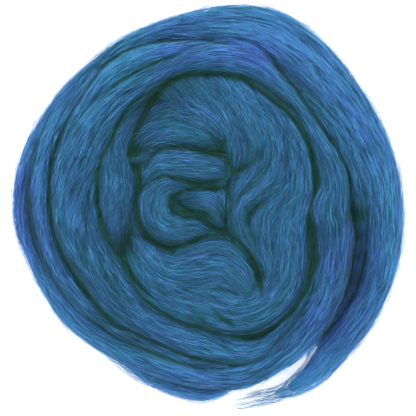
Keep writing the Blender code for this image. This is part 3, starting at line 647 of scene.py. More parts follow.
class Band:
    """One stretch of the band: rings of points in metres, and how far along each ring lies."""

    def __init__(self, rows, step=SECTION_STEP, sides=SECTION_SIDES, depth=band_depth):
        path = smooth_rows(rows, step)
        x, y, width, crown = np.array(path).T[:, :, None]
        along = np.concatenate([[0.0], np.cumsum(np.hypot(np.diff(x[:, 0]), np.diff(y[:, 0])))])
        ahead = np.array([heading(path, i) for i in range(len(path))])
        thick = depth(width)
        angle = 2 * np.pi * np.arange(sides + 1) / sides - np.pi / 2
        fullness = SOFT_FULLNESS if rows in SOFT_BANDS else FULLNESS
        side, rise = (np.sign(a) * np.abs(a) ** (2 / fullness) for a in (np.cos(angle), np.sin(angle)))
        drift = RIDGE_DRIFT * along * (1 + RIDGE_SWAY * np.sin(along / RIDGE_SWAY_LENGTH))
        lift = RIDGE_HEIGHT * np.cos(RIDGES * angle + drift[:, None])
        for locks, height, turn in LOCKS:
            sway = turn * along + LOCK_SWAY * np.sin(along / (LOCK_SWAY_LENGTH * locks))
            lift = lift + height * np.cos(locks * angle + sway[:, None])
        lift = lift * np.minimum(1.0, width / RIDGE_FULL_WIDTH)
        across = (width / 2 + lift) * side
        x = x - ahead[:, 1:2] * across - MIDDLE[0]
        y = y + ahead[:, 0:1] * across - MIDDLE[1]
        z = crown - thick / 2 + (thick / 2 + lift) * rise
        self.top = np.clip(2 * rise, 0, 1)
        self.lower = depth is lower_depth
        self.rings = np.stack([x, y, z], axis=2) * MM
        self.along = along * MM
        self.sides = sides
        self.girths = np.linalg.norm(np.diff(self.rings, axis=1), axis=2).sum(axis=1)
        self.girth = float(self.girths.mean())

    def crease(self, creases):
        """Lowers the upper side of the band where the creases run."""
        places = self.rings.reshape(-1, 3)
        self.rings[:, :, 2] -= read_map(creases, places).reshape(self.rings.shape[:2]) * self.top

    def faces(self, first):
        """Quads between the rings; each ring's last point repeats its first, for the map's seam."""
        wide = self.sides + 1
        i, k = np.meshgrid(np.arange(len(self.rings) - 1), np.arange(self.sides), indexing="ij")
        a = (first + i * wide + k).ravel()
        return np.stack([a, a + 1, a + wide + 1, a + wide], axis=1)

    def normals(self):
        """Outward normals of the rings' points."""
        rings = self.rings[:, :-1]
        round_ = np.roll(rings, -1, axis=1) - np.roll(rings, 1, axis=1)
        found = np.cross(np.gradient(rings, axis=0), round_)
        found /= np.linalg.norm(found, axis=2, keepdims=True) + 1e-12
        if ((rings - rings.mean(axis=1, keepdims=True)) * found).sum() < 0:
            found = -found
        return np.concatenate([found, found[:, :1]], axis=1).reshape(-1, 3)


def joined(bands):
    """The points and the quads of all the bands, counted on from one band to the next."""
    points = [band.rings.reshape(-1, 3) for band in bands]
    firsts = np.cumsum([0] + [len(places) for places in points])
    quads = [band.faces(first) for band, first in zip(bands, firsts)]
    return np.concatenate(points), np.concatenate(quads)


def core_points():
    """Rings of the low packed middle, from the floor up."""
    rise = np.arange(CORE_RINGS)[:, None] / (CORE_RINGS - 1)
    radius = CORE_RADIUS * np.maximum(CORE_TOP, (1 - rise**CORE_BULGE) ** (1 / CORE_BULGE))
    angle = 2 * np.pi * np.arange(CORE_SIDES) / CORE_SIDES
    x, y = radius * np.cos(angle) - MIDDLE[0], radius * np.sin(angle) - MIDDLE[1]
    z = -SEAT_DEPTH + (CORE_HEIGHT + SEAT_DEPTH) * rise + 0 * angle
    return np.stack([x, y, z], axis=2) * MM


# ---- Meshes ----


def new_object(name, mesh):
    obj = bpy.data.objects.new(name, mesh)
    bpy.context.scene.collection.objects.link(obj)
    return obj


def evaluated_mesh(obj):
    graph = bpy.context.evaluated_depsgraph_get()
    graph.update()
    return bpy.data.meshes.new_from_object(obj.evaluated_get(graph))


def gathered(items, key, width=1, kind=np.float32):
    """One property of all the items, as an array."""
    found = np.empty(len(items) * width, dtype=kind)
    items.foreach_get(key, found)
    return found.reshape(-1, width) if width > 1 else found


def vertex_places(mesh):
    return gathered(mesh.vertices, "co", 3)


def corner_vertices(mesh):
    return gathered(mesh.loops, "vertex_index", kind=np.int32)


def write_values(mesh, name, values):
    """Gives each vertex its value, as an attribute."""
    data = mesh.attributes.new(name, "FLOAT", "POINT").data
    data.foreach_set("value", np.ascontiguousarray(values, dtype=np.float32))


def write_lay(mesh, u, v):
    """Writes the corners' places along and round their band, as the map lay."""
    layer = mesh.uv_layers.new(name="lay")
    layer.uv.foreach_set("vector", np.stack([u, v], axis=1).astype(np.float32).ravel())


def search_tree(mesh):
    return BVHTree.FromPolygons(vertex_places(mesh).tolist(), [list(f.vertices) for f in mesh.polygons])


def closed_tube(bm, rings):
    """Skins rings of points and closes both ends."""
    loops = [[bm.verts.new(point) for point in ring] for ring in rings]
    for first, second in zip(loops, loops[1:]):
        for k in range(len(first)):
            after = (k + 1) % len(first)
            bm.faces.new((first[k], second[k], second[after], first[after]))
    bm.faces.new(loops[0])
    bm.faces.new(reversed(loops[-1]))


def tubes(bands, core=None):
    """The bands, and the core where there is one, as closed tubes that run into each other."""
    bm = bmesh.new()
    for band in bands:
        closed_tube(bm, band.rings[:, :-1])
    if core is not None:
        closed_tube(bm, core)
    bmesh.ops.recalc_face_normals(bm, faces=bm.faces)
    return bm


def fused(name, bm, voxel, smoothing):
    """The tubes as one closed skin, flat where it lies on the floor."""
    mesh = bpy.data.meshes.new(name)
    bm.to_mesh(mesh)
    bm.free()
    obj = new_object(name, mesh)
    remesh = obj.modifiers.new("Fuse", "REMESH")
    remesh.mode = "VOXEL"
    remesh.voxel_size = voxel
    remesh.use_smooth_shade = True
    smooth = obj.modifiers.new("Soften", "SMOOTH")
    smooth.factor = SMOOTHING_FACTOR
    smooth.iterations = smoothing
    skin = evaluated_mesh(obj)
    obj.modifiers.clear()
    obj.data = skin
    bpy.data.meshes.remove(mesh)
    keep_outer_shell(skin)
    cut_flat(skin)
    return obj


def keep_outer_shell(mesh):
    """Drops every shell but the largest: the others close off hollows between the bands."""
    edges = gathered(mesh.edges, "vertices", 2, np.int32)
    shell = np.arange(len(mesh.vertices))
    while True:
        low = np.minimum(shell[edges[:, 0]], shell[edges[:, 1]])
        fresh = shell.copy()
        np.minimum.at(fresh, edges[:, 0], low)
        np.minimum.at(fresh, edges[:, 1], low)
        fresh = fresh[fresh]
        if (fresh == shell).all():
            break
        shell = fresh
    names, sizes = np.unique(shell, return_counts=True)
    outer = names[np.argmax(sizes)]
    bm = bmesh.new()
    bm.from_mesh(mesh)
    inner = [vertex for vertex, its in zip(bm.verts, shell) if its != outer]
    bmesh.ops.delete(bm, geom=inner, context="VERTS")
    bm.to_mesh(mesh)
    bm.free()


def cut_flat(mesh):
    """Cuts off what is below the floor, and closes the cut with one flat fill."""
    bm = bmesh.new()
    bm.from_mesh(mesh)
    whole = bm.verts[:] + bm.edges[:] + bm.faces[:]
    found = bmesh.ops.bisect_plane(
        bm, geom=whole, dist=1e-6, plane_co=(0, 0, 0), plane_no=(0, 0, -1), clear_outer=True
    )
    rim = [item for item in found["geom_cut"] if isinstance(item, bmesh.types.BMEdge)]
    bmesh.ops.triangle_fill(bm, edges=rim, normal=(0, 0, -1), use_beauty=True)
    bmesh.ops.recalc_face_normals(bm, faces=bm.faces)
    for face in bm.faces:
        face.smooth = True
    bm.to_mesh(mesh)
    bm.free()


# ---- Light in the hollows ----


def height_map(bm):
    """The wool's height over each cell of the floor, and 0 where the floor shows."""
    tree = BVHTree.FromBMesh(bm)
    bm.free()
    middles = np.arange(MAP_CELL / 2 - MAP_REACH, MAP_REACH, MAP_CELL)
    down = Vector((0, 0, -1))
    heights = np.zeros((len(middles), len(middles)))
    for i, x in enumerate(middles):
        for k, y in enumerate(middles):
            hit = tree.ray_cast((x, y, MAP_TOP), down)[0]
            if hit is not None:
                heights[i, k] = hit.z
    return heights


def crease_map(cells):
    """How far the creases lower the wool over each cell of the floor."""
    found = np.zeros((cells, cells))
    for rows in CREASES:
        for x, y, half, depth in smooth_rows(rows, CREASE_STEP):
            middle = ((np.array([x, y]) - MIDDLE) * MM + MAP_REACH) / MAP_CELL - 0.5
            reach = int(CREASE_REACH * half * MM / MAP_CELL) + 1
            i, k = np.round(middle).astype(int)
            near = np.arange(-reach, reach + 1)
            away = np.hypot(i + near[:, None] - middle[0], k + near[None, :] - middle[1]) * MAP_CELL
            part = found[i - reach : i + reach + 1, k - reach : k + reach + 1]
            np.maximum(part, depth * MM * np.exp(-((away / (half * MM)) ** 2)), out=part)
    return found


def blurred(values, reach):
    waves = np.fft.fftfreq(len(values), MAP_CELL)
    fade = np.exp(-2 * (math.pi * reach) ** 2 * (waves[:, None] ** 2 + waves[None, :] ** 2))
    return np.fft.ifft2(np.fft.fft2(values) * fade).real


def shaded_slope(heights):
    """How steeply the wool rises towards the light over each cell, and so faces away from it."""
    broad = blurred(np.maximum(heights, SLOPE_FLOOR), SLOPE_REACH)
    along_x, along_y = np.gradient(broad, MAP_CELL)
    return along_x * LIGHT_FROM[0] + along_y * LIGHT_FROM[1]


def light_map(heights, creases):
    """How light each cell is painted: painted shade in the hollows and on slopes that face away from the
    light, most of it in the grooves between the bands, and painted light at the rim.
    """
    seen = np.zeros_like(heights)
    for turn in range(LIGHT_WAYS):
        angle = 2 * math.pi * turn / LIGHT_WAYS
        slope = np.zeros_like(heights)
        for reach in LIGHT_RANGES:
            shift = [-round(reach * way / MAP_CELL) for way in (math.cos(angle), math.sin(angle))]
            rise = np.roll(heights, shift, axis=(0, 1)) - heights
            slope = np.maximum(slope, rise / reach)
        seen += (1 - slope / np.sqrt(1 + slope * slope)) / LIGHT_WAYS
    groove = np.clip(blurred(heights, GROOVE_REACH) - heights - GROOVE_FREE, 0, None)
    light = seen**LIGHT_POWER * np.exp(-groove / GROOVE_DEPTH - creases / CREASE_DARK)
    light = LEAST_LIGHT + (1 - LEAST_LIGHT) * light
    light *= 1 - np.clip(shaded_slope(heights) * SLOPE_DIM, *SLOPE_RANGE)
    wool = (heights > 0).astype(float)
    rim = np.clip(RIM_LIGHT * blurred(1 - wool, RIM_REACH), 0, 1)
    light = 1 - (1 - light) * (1 - rim)
    spread = blurred(wool, EDGE_REACH)
    around = blurred(light * wool, EDGE_REACH) / np.maximum(spread, EDGE_SHARE)
    return np.where(wool > 0, light, np.where(spread > EDGE_SHARE, around, 1.0))


def read_map(values, places):
    """The map's value at each place, between its cells' middles."""
    spots = (places[:, :2] + MAP_REACH) / MAP_CELL - 0.5
    low = np.clip(np.floor(spots).astype(int), 0, len(values) - 2)
    (i, k), (a, b) = low.T, np.clip(spots - low, 0, 1).T
    first = values[i, k] * (1 - b) + values[i, k + 1] * b
    second = values[i + 1, k] * (1 - b) + values[i + 1, k + 1] * b
    return first * (1 - a) + second * a


def eased(share):
    return share * share * (3 - 2 * share)


def outwardness(places):
    """0 within the second turn, 1 at the nest's edge."""
    away = np.linalg.norm(places[:, :2], axis=1)
    return eased(np.clip((away - INNER_REACH) / (OUTER_REACH - INNER_REACH), 0, 1))


def patches(places, column):
    """A change that fades out round each of the patches, read from a column of their table."""
    found = np.zeros(len(places))
    for row in DYE_AND_SHADING_PATCHES:
        away = np.hypot(places[:, 0] / MM - row[0], places[:, 1] / MM - row[1]) / row[2]
        found += row[column] * np.exp(-away * away)
    return found


def shades(places, heights, light):
    """How light the wool is painted at each place: painted shade in the hollows, towards the nest's centre
    and on the sides below the crown, and the patches' painted light and shade.
    """
    away = np.linalg.norm(places[:, :2], axis=1)
    level = INNER_LEVEL + (OUTER_LEVEL - INNER_LEVEL) * outwardness(places) + patches(places, 4)
    deep = eased(np.clip((places[:, 2] - DEEP[0]) / (DEEP[1] - DEEP[0]), 0, 1))
    sunk = 1 - (1 - DEEP_LEVEL) * (1 - deep) * (away < INNER_REACH)
    below = np.clip(read_map(heights, places) - places[:, 2], 0, None)
    side = np.clip(1 - SIDE_DIM * below, SIDE_LEAST, 1)
    return read_map(light, places) * level * sunk * side


def dye_at(places):
    """The dye's hue at each place, from 0, teal, to 1, royal blue: uneven, as dyed wool is."""
    return HUE_MIDDLE + HUE_OUTWARD * outwardness(places) + patches(places, 3)


# ---- Node trees ----


class Wire:
    """A value in a node tree. Reckoning with it adds the nodes that do so."""

    def __init__(self, tree, socket):
        self.tree = tree
        self.socket = socket

    def __add__(self, other):
        return self.tree.math("ADD", self, other)

    def __sub__(self, other):
        return self.tree.math("SUBTRACT", self, other)

    def __rsub__(self, other):
        return self.tree.math("SUBTRACT", other, self)

    def __mul__(self, other):
        return self.tree.math("MULTIPLY", self, other)

    def __truediv__(self, other):
        return self.tree.math("DIVIDE", self, other)

    __radd__ = __add__


class Tree:
    """A node tree that is built by naming what feeds each socket."""

    def __init__(self, tree):
        self.tree = tree
        self.nodes = tree.nodes

    def node(self, kind, settings=None, **feeds):
        """Adds a node. A feed is a wire or a value; its name is the input's, with _ for a space."""
        node = self.nodes.new(kind)
        for name, value in (settings or {}).items():
            setattr(node, name, value)
        for name, value in feeds.items():
            self.feed(self.shown(node.inputs, name.replace("_", " ")), value)
        return node

    def add(self, kind, settings=None, **feeds):
        """Adds a node, and gives its first output."""
        return Wire(self, self.shown(self.node(kind, settings, **feeds).outputs))

    @staticmethod
    def shown(sockets, name=None):
        return next(socket for socket in sockets if socket.enabled and name in (None, socket.name))

    def feed(self, socket, value):
        if isinstance(value, Wire):
            self.tree.links.new(value.socket, socket)
        else:
            socket.default_value = value

    def fed(self, kind, operation, values):
        """Adds a node whose inputs are fed in their order."""
        node = self.node(kind, {"operation": operation})
        for socket, value in zip([socket for socket in node.inputs if socket.enabled], values):
            self.feed(socket, value)
        return Wire(self, self.shown(node.outputs))

    def math(self, operation, *values):
        return self.fed("ShaderNodeMath", operation, values)

    def vector(self, operation, *values):
        return self.fed("ShaderNodeVectorMath", operation, values)

    def combine(self, x, y, z=0.0):
        return self.add("ShaderNodeCombineXYZ", X=x, Y=y, Z=z)

    def parts(self, vector):
        outputs = self.node("ShaderNodeSeparateXYZ", Vector=vector).outputs
        return [Wire(self, socket) for socket in outputs]

    def noise(self, x, y, z, detail=1.0):
        return self.add("ShaderNodeTexNoise", Vector=self.combine(x, y, z), Scale=1.0, Detail=detail)

    def waves(self, x, y, z, detail=1.0):
        """Noise about 0."""
        return self.noise(x, y, z, detail) - 0.5

    def between(self, value, low, high):
        return self.math("MINIMUM", self.math("MAXIMUM", value, low), high)


def fibre_tree():
    """Lays combed fibres on a band's skin, in the band's own coordinates."""
    tree = bpy.data.node_groups.new("lay_fibres", "GeometryNodeTree")
    tree.interface.new_socket("Geometry", in_out="INPUT", socket_type="NodeSocketGeometry")
    for name, value in FIBRE_INPUTS.items():
        kind = "NodeSocketInt" if isinstance(value, int) else "NodeSocketFloat"
        tree.interface.new_socket(name, in_out="INPUT", socket_type=kind).default_value = value
    tree.interface.new_socket("Material", in_out="INPUT", socket_type="NodeSocketMaterial")
    tree.interface.new_socket("Geometry", in_out="OUTPUT", socket_type="NodeSocketGeometry")
    t = Tree(tree)
    given = {socket.name: Wire(t, socket) for socket in t.node("NodeGroupInput").outputs}
    index = t.add("GeometryNodeInputIndex")

    def named(name, kind="FLOAT"):
        return t.add("GeometryNodeInputNamedAttribute", {"data_type": kind}, Name=name)

    def store(geometry, name, value, kind="FLOAT", domain="POINT"):
        settings = {"data_type": kind, "domain": domain}
        return t.add(
            "GeometryNodeStoreNamedAttribute", settings, Geometry=geometry, Name=name, Value=value
        )

    def chance(low, high, salt):
        """A draw for each fibre. Each use has a salt of its own."""
        kind = "FunctionNodeRandomValue"
        return t.add(kind, {"data_type": "FLOAT"}, Min=low, Max=high, Seed=given["Seed"] + salt)

    # Where the fibres grow, and what each keeps
    root = t.add(
        "GeometryNodeDistributePointsOnFaces",
        {"distribute_method": "RANDOM"},
        Mesh=given["Geometry"],
        Density=given["Fibres per area"] * (named("open") + named("rim") * given["Rim share"]),
        Seed=given["Seed"],
    )
    u, v, _ = t.parts(named("lay", "FLOAT_VECTOR"))
    length = chance(given["Least length"], given["Most length"], 11) * given["Reach"]
    start = t.math("MAXIMUM", u + length * chance(-1.0, 0.0, 12), 0.0)
    kept = {
        "from_u": t.math("MINIMUM", start, named("u_end") - length),
        "from_v": v,
        "fibre_length": length,
        "fibre_radius": chance(given["Least radius"], given["Most radius"], 13),
        "fibre_lift": chance(0.0, given["Most lift"], 14),
        "fibre_end_lift": chance(0.0, given["End lift"], 15),
        "fibre_slant": named("lean") * length + chance(-1.0, 1.0, 16) * given["Slant"],
        "fibre_chance": chance(0.0, 1.0, 17),
        "fibre_pale": chance(0.0, 1.0, 18),
        "fibre_dye": named("dye"),
        "fibre_girth": named("girth"),
        "fibre_wide": named("wide"),
        "fibre": index,
    }
    for name, value in kept.items():
        root = store(root, name, value)
    copies = t.node(
        "GeometryNodeDuplicateElements", {"domain": "POINT"}, Geometry=root, Amount=given["Points"]
    )
    spots, number = (Wire(t, socket) for socket in copies.outputs[:2])
    spots = store(spots, "share", number / (given["Points"] - 1))
    share, own = named("share"), named("fibre_chance")
    curves = t.add("GeometryNodePointsToCurves", Points=spots, Curve_Group_ID=named("fibre"), Weight=share)

    # Where each point of a fibre lies: along the band and across it, with its lock's sway, the
    # crimp that it shares with its neighbours, and a sway of its own
    from_u, from_v = named("from_u"), named("from_v")
    along = from_u + named("fibre_length") * share
    middle = share - 0.5
    across = from_v * named("fibre_wide")

    def sway(per_length, per_width, salt):
        return t.waves(along * per_length, across * per_width, own * salt, 0.0)

    own_offset = sway(*OWN_WAVES) * given["Own sway"] + middle * named("fibre_slant")
    offset = own_offset + sway(*LOCK_WAVES) * given["Lock sway"] + sway(*CRIMP_WAVES) * given["Crimp"]
    round_ = from_v + offset / named("fibre_girth")
    sample_at = t.combine(along, t.math("FRACT", round_) + t.math("FLOOR", from_v))

    def sampled(input_kind):
        node = t.node(
            "GeometryNodeSampleUVSurface",
            {"data_type": "FLOAT_VECTOR"},
            Mesh=given["Geometry"],
            Value=t.add(input_kind),
            UV_Map=named("lay", "FLOAT_VECTOR"),
            Sample_UV=sample_at,
        )
        return Wire(t, t.shown(node.outputs, "Value")), Wire(t, node.outputs["Is Valid"])

    at, valid = sampled("GeometryNodeInputPosition")
    outward, _ = sampled("GeometryNodeInputNormal")
    ends = t.math("POWER", t.math("ABSOLUTE", middle * 2.0), END_POWER)
    rise = t.noise(along * LOCK_RISES[0], from_v * LOCK_RISES[1], LOCK_RISES[2])
    lift = named("fibre_lift") + rise * given["Lock height"] + ends * named("fibre_end_lift")
    x, y, z = t.parts(t.vector("ADD", at, t.vector("SCALE", outward, lift)))
    place = t.combine(x, y, t.math("MAXIMUM", z, FLOOR_GAP))
    curves = t.add("GeometryNodeSetPosition", Geometry=curves, Position=place)
    missing = t.add("FunctionNodeBooleanMath", {"operation": "NOT"}, Boolean=valid)
    curves = store(curves, "missing", missing)
    gone = t.math("GREATER_THAN", named("missing"), 0.5)
    curves = t.add("GeometryNodeDeleteGeometry", {"domain": "POINT"}, Geometry=curves, Selection=gone)

    # A three-sided tube, thin at its ends
    radius = named("fibre_radius") * (1.0 - ends * END_THINNING)
    ring = t.add("GeometryNodeCurvePrimitiveCircle", Resolution=3, Radius=1.0)
    ring = store(ring, "side", index * SIDE_HUE)
    kind = "GeometryNodeCurveToMesh"
    hair = t.add(kind, Curve=curves, Profile_Curve=ring, Scale=radius, Fill_Caps=True)

    # Its colour's place on the palette: x is the dye's hue, and y how light it is, painted light and shade
    # included
    lock_hue = t.waves(from_u * LOCK_HUES[0], from_v * LOCK_HUES[1], LOCK_HUES[2], 2.0)
    hue = t.between(named("fibre_dye") + lock_hue * LOCK_HUE + (own - 0.5) * OWN_HUE, *HUE_ENDS)
    seen_across = across + own_offset

    def shared(along_waves, across_waves, which, beside=seen_across):
        return t.waves(along * along_waves, beside * across_waves, which)

    # How light the fibre is: its own pale tone, painted glints, streaks, lock tones that are partly
    # painted highlights, and painted shade in lines between the locks; shade_fibres multiplies in the
    # light map's painted shade afterwards
    pale = t.math("POWER", named("fibre_pale"), PALE_POWER)
    level = given["Least level"] + pale * given["More level"]
    level += shared(*GLINTS, own) * GLINT_LEVEL
    level += shared(*STREAKS) * given["Streak level"]
    level += shared(*LOCK_LEVELS) * given["Lock level"]
    line = 1.0 - t.math("ABSOLUTE", shared(*LOCK_LINES)) / LOCK_LINE_WIDTH
    level -= t.math("MAXIMUM", line, 0.0) * given["Lock line"]
    hair = store(hair, "OFBake", t.combine(hue + named("side"), level), "FLOAT2", "CORNER")
    hair = t.add("GeometryNodeSetShadeSmooth", Geometry=hair)
    hair = t.add("GeometryNodeRealizeInstances", Geometry=hair)
    hair = t.add("GeometryNodeSetMaterial", Geometry=hair, Material=given["Material"])
    t.feed(t.node("NodeGroupOutput").inputs[0], hair)
    return tree


# ---- Fibres ----


def skin_mesh(name, bands, body_tree):
    """The bands' skins as one mesh, with what the fibres read from it."""
    places, quads = joined(bands)

    def spread(value_of):
        """A value of each band, of its rings or of a ring's points, for all the points."""
        return np.concatenate([np.broadcast_to(value_of(b), b.rings.shape[:2]).ravel() for b in bands])

    along = spread(lambda band: band.along[:, None])
    round_ = spread(lambda band: np.arange(band.sides + 1) / band.sides + 2.0 * bands.index(band))
    shares = spread(lambda band: LOWER_SHARE if band.lower else 1.0)
    normals = np.concatenate([band.normals() for band in bands])
    facing = SIDE_SHARE + (1 - SIDE_SHARE) * np.clip(normals[:, 2], 0, 1)
    shown = open_places(places, body_tree) * shares
    values = {
        "u_end": spread(lambda band: band.along[-1]),
        "open": shown * facing,
        "rim": shown * outer_rim(places, normals),
        "dye": dye_at(places),
        "girth": spread(lambda band: band.girths[:, None]),
        "wide": spread(lambda band: band.girth),
        "lean": patches(places, 5),
    }
    mesh = bpy.data.meshes.new(name)
    mesh.from_pydata(places, [], quads)
    mesh.polygons.foreach_set("use_smooth", np.ones(len(mesh.polygons), dtype=bool))
    write_lay(mesh, along[quads].ravel(), round_[quads].ravel())
    for key, found in values.items():
        write_values(mesh, key, found)
    mesh.update()
    return mesh


def outer_rim(places, normals):
    """1 on the nest's outer side, and 0 on its top and within it."""
    away = np.linalg.norm(places[:, :2], axis=1, keepdims=True)
    outward = (normals[:, :2] * places[:, :2] / np.maximum(away, 1e-9)).sum(axis=1)
    return np.clip(2 * outward - RIM_TURN, 0, 1) * (away[:, 0] > RIM_START)


def open_places(places, body_tree):
    """1 where a place of a band shows on the fused body, and 0 where other bands cover it."""
    found = np.zeros(len(places))
    for i, place in enumerate(places):
        if place[2] >= FLOOR_CLEAR:
            near, outward, _, _ = body_tree.find_nearest(place)
            found[i] = (Vector(place) - near).dot(outward) > -BURIED
    return found


def shade_fibres(mesh, heights, light):
    """Darkens the fibres' places on the palette with painted shade where less light reaches them."""
    own, share = (gathered(mesh.attributes[key].data, "value") for key in ("fibre_chance", "share"))
    turn = LIGHT_TURN * own
    beside = LIGHT_SPREAD * np.stack([np.cos(turn), np.sin(turn), 0 * own], axis=1)
    shade = shades(vertex_places(mesh) + beside, heights, light)
    at = corner_vertices(mesh)
    data = mesh.attributes["OFBake"].data
    palette = gathered(data, "vector", 2)
    level = palette[:, 1] * shade[at] / MOST_LEVEL
    palette[:, 1] = np.clip(level, *LEVEL_ENDS) + TIP_LEVEL * share[at]
    data.foreach_set("vector", palette.ravel())


def lay_fibres(name, skin, tree, material, heights, light, wanted):
    """Runs the fibre tree over a skin, and returns its fibres as a plain mesh."""
    carrier = new_object(name, skin)
    lay = carrier.modifiers.new("Fibres", "NODES")
    lay.node_group = tree
    sockets = {item.name: item.identifier for item in tree.interface.items_tree if item.in_out == "INPUT"}
    for key, value in wanted.items():
        lay[sockets[key.replace("_", " ")]] = value
    lay[sockets["Material"]] = material
    mesh = evaluated_mesh(carrier)
    bpy.data.objects.remove(carrier, do_unlink=True)
    shade_fibres(mesh, heights, light)
    used = [item.name for item in mesh.attributes if item.data_type == "FLOAT" or item.name == "lay"]
    for key in used:
        mesh.attributes.remove(mesh.attributes[key])
    piece = new_object(name, mesh)
    mesh.materials.clear()
    mesh.materials.append(material)
    return piece


# ---- Materials ----


def new_material(name, surface):
    material = bpy.data.materials.new(name)
    material.use_nodes = True
    inputs = material.node_tree.nodes["Principled BSDF"].inputs
    for key, value in surface.items():
        inputs[key].default_value = value
    return material, Tree(material.node_tree), inputs


def ramp(t, fac, stops):
    node = t.node("ShaderNodeValToRGB", Fac=fac)
    elements = node.color_ramp.elements
    while len(elements) < len(stops):
        elements.new(0.5)
    for element, (place, colour) in zip(elements, stops):
        element.position = place
        element.color = (*colour, 1.0)
    return Wire(t, node.outputs["Color"])


def dyed_and_shaded(t, hue, level):
    """The dye's colour with its painted light and shade, by its places on HUES and on
    SHADE_AND_TONE_LEVELS.
    """
    kind = {"data_type": "RGBA", "blend_type": "MULTIPLY"}
    return t.add("ShaderNodeMix", kind, Factor=1.0, A=ramp(t, hue, HUES), B=ramp(t, level, SHADE_AND_TONE_LEVELS))


def fibre_material():
    material, t, inputs = new_material("combed_fibre", WOOL)
    hue, level, _ = t.parts(t.add("ShaderNodeUVMap", {"uv_map": "OFBake"}))
    t.feed(inputs["Base Color"], dyed_and_shaded(t, hue, level))
    return material


def body_material():
    """Wool as it looks between the laid fibres: fine crimped streaks along the band, with the painted
    light and shade in its shade attribute.
    """
    material, t, inputs = new_material("combed_wool", WOOL)
    u, v, _ = t.parts(t.add("ShaderNodeUVMap", {"uv_map": "lay"}))

    def waves(per_length, per_width, which, detail=0.0):
        return t.waves(u * per_length, v * per_width, which, detail)

    def written(name):
        return Wire(t, t.node("ShaderNodeAttribute", {"attribute_name": name}).outputs["Fac"])

    for per_length, per_width, which, strength in BODY_CRIMPS:
        v = v + waves(per_length, per_width, which) * strength
    streaks, locks = waves(*BODY_STREAKS, 1.0), waves(*BODY_LOCKS, 1.0)
    level = BODY_LEVEL + streaks * BODY_STREAK_LEVEL + locks * BODY_LOCK_LEVEL
    hue = written("dye") + waves(*BODY_HUES)
    t.feed(inputs["Base Color"], dyed_and_shaded(t, hue, written("shade") * (level / MOST_LEVEL)))
    t.feed(inputs["Normal"], t.add("ShaderNodeBump", Height=streaks, **BODY_BUMP))
    return material


# ---- The nest's body ----


def body_map(mesh, bands):
    """Writes each face's place along and round the band it came from, in metres, as the map lay."""
    places, quads = joined(bands)
    starts = []
    for number, band in enumerate(bands):
        row = np.repeat(np.arange(len(band.along) - 1), band.sides)
        step = np.full(len(row), band.girth / band.sides)
        round_ = number + np.tile(np.arange(band.sides), len(band.along) - 1) * step
        starts.append([band.along[row], round_, band.along[row + 1] - band.along[row], step])
    starts = np.concatenate(starts, axis=1)
    tree = BVHTree.FromPolygons(places.tolist(), quads.tolist())
    centres = gathered(mesh.polygons, "center", 3)
    nearest = np.array([tree.find_nearest(centre)[2] for centre in centres])
    quad = np.repeat(nearest, gathered(mesh.polygons, "loop_total", kind=np.int32))
    corner = places[quads[quad, 0]]
    offset = vertex_places(mesh)[corner_vertices(mesh)] - corner

    def share(ahead):
        edge = places[quads[quad, ahead]] - corner
        found = (offset * edge).sum(axis=1) / np.maximum((edge * edge).sum(axis=1), 1e-14)
        return np.clip(found, *FACE_SHARES)

    u, v, long, wide = starts[:, quad]
    write_lay(mesh, u + share(3) * long, v + share(1) * wide)


def dress(obj, bands, material, heights, light):
    """Gives a body its map, its painted light and shade, and its dye."""
    body_map(obj.data, bands)
    places = vertex_places(obj.data)
    write_values(obj.data, "shade", shades(places, heights, light))
    write_values(obj.data, "dye", dye_at(places))
    obj.data.materials.append(material)


# ---- Floor, lights and camera ----


def set_camera():
    data = bpy.data.cameras.new("camera")
    data.lens = CAMERA_LENS
    data.sensor_width = CAMERA_SENSOR
    camera = new_object("camera", data)
    distance = PICTURE_WIDTH * CAMERA_LENS / CAMERA_SENSOR
    camera.location = (*PICTURE_MIDDLE, PICTURE_HEIGHT + distance)
    bpy.context.scene.camera = camera


def area_light(name, place, size, power):
    data = bpy.data.lights.new(name, "AREA")
    data.shape = "DISK"
    data.size = size
    data.energy = power
    light = new_object(name, data)
    light.location = place
    light.rotation_euler = Vector(place).to_track_quat("Z", "Y").to_euler()


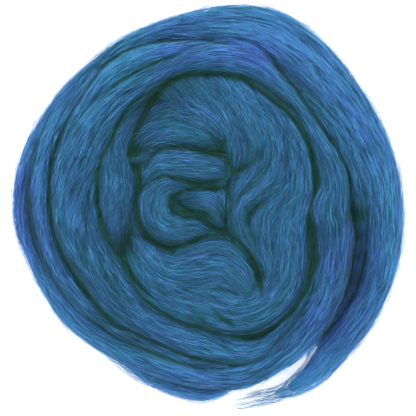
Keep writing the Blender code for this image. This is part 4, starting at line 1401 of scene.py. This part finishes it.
def set_studio():
    mesh = bpy.data.meshes.new("floor")
    corners = [(FLOOR_SIZE * x, FLOOR_SIZE * y, 0) for x, y in ((-1, -1), (1, -1), (1, 1), (-1, 1))]
    mesh.from_pydata(corners, [], [(0, 1, 2, 3)])
    floor = new_object("floor", mesh)
    floor.location.z = -FLOOR_DROP
    mesh.materials.append(new_material("white_floor", FLOOR)[0])
    for light in LIGHTS:
        area_light(*light)
    world = bpy.data.worlds.new("studio")
    world.use_nodes = True
    for key, value in ROOM_LIGHT.items():
        world.node_tree.nodes["Background"].inputs[key].default_value = value
    bpy.context.scene.world = world
    bpy.context.scene.view_settings.view_transform = "Standard"


# ---- The whole ----


def main():
    set_camera()
    set_studio()
    bands = {name: [Band(rows) for rows in group] for name, group, _ in FIBRE_GROUPS}
    bands["lower"].append(Band(lower_turn(), depth=lower_depth))
    laid = [band for group in bands.values() for band in group]
    wound = [Band(OUTER_TURN + SECOND_TURN[:3]), *laid[1:]]
    heights = height_map(tubes(laid, core_points()))
    creases = crease_map(len(heights))
    heights = np.maximum(heights - creases, np.minimum(heights, MAP_CELL))
    light = light_map(heights, creases)
    for band in [wound[0], *laid]:
        band.crease(creases)
    wool = body_material()
    body = fused("nest_body", tubes(wound, core_points()), BODY_VOXEL, BODY_SMOOTHING)
    dress(body, wound, wool, heights, light)
    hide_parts("roving_coil")
    end_band = Band(END_WOOL, step=1.0, sides=32, depth=end_depth)
    end = fused("end_body", tubes([end_band]), END_VOXEL, END_SMOOTHING)
    dress(end, [end_band], wool, heights, light)
    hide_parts("loose_end")
    pieces = [body, end]
    search = search_tree(body.data)
    tree = fibre_tree()
    fibre = fibre_material()
    bands["wisps"] = [Band(rows, step=2.0, sides=12, depth=end_depth) for rows in WISPS]
    reaches = {name: reach for name, _, reach in FIBRE_GROUPS}
    for name, group in bands.items():
        skin = skin_mesh(name + "_skin", group, search)
        kinds = WISP_KINDS if name == "wisps" else FIBRE_KINDS
        for seed, (kind, wanted) in enumerate(kinds.items(), start=1):
            wanted = {"Seed": seed, "Reach": reaches.get(name, 1.0), **wanted}
            piece = lay_fibres(f"{kind}_fibres_{name}", skin, tree, fibre, heights, light, wanted)
            pieces.append(piece)
    for piece in pieces:
        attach(piece, ROOT)


main()
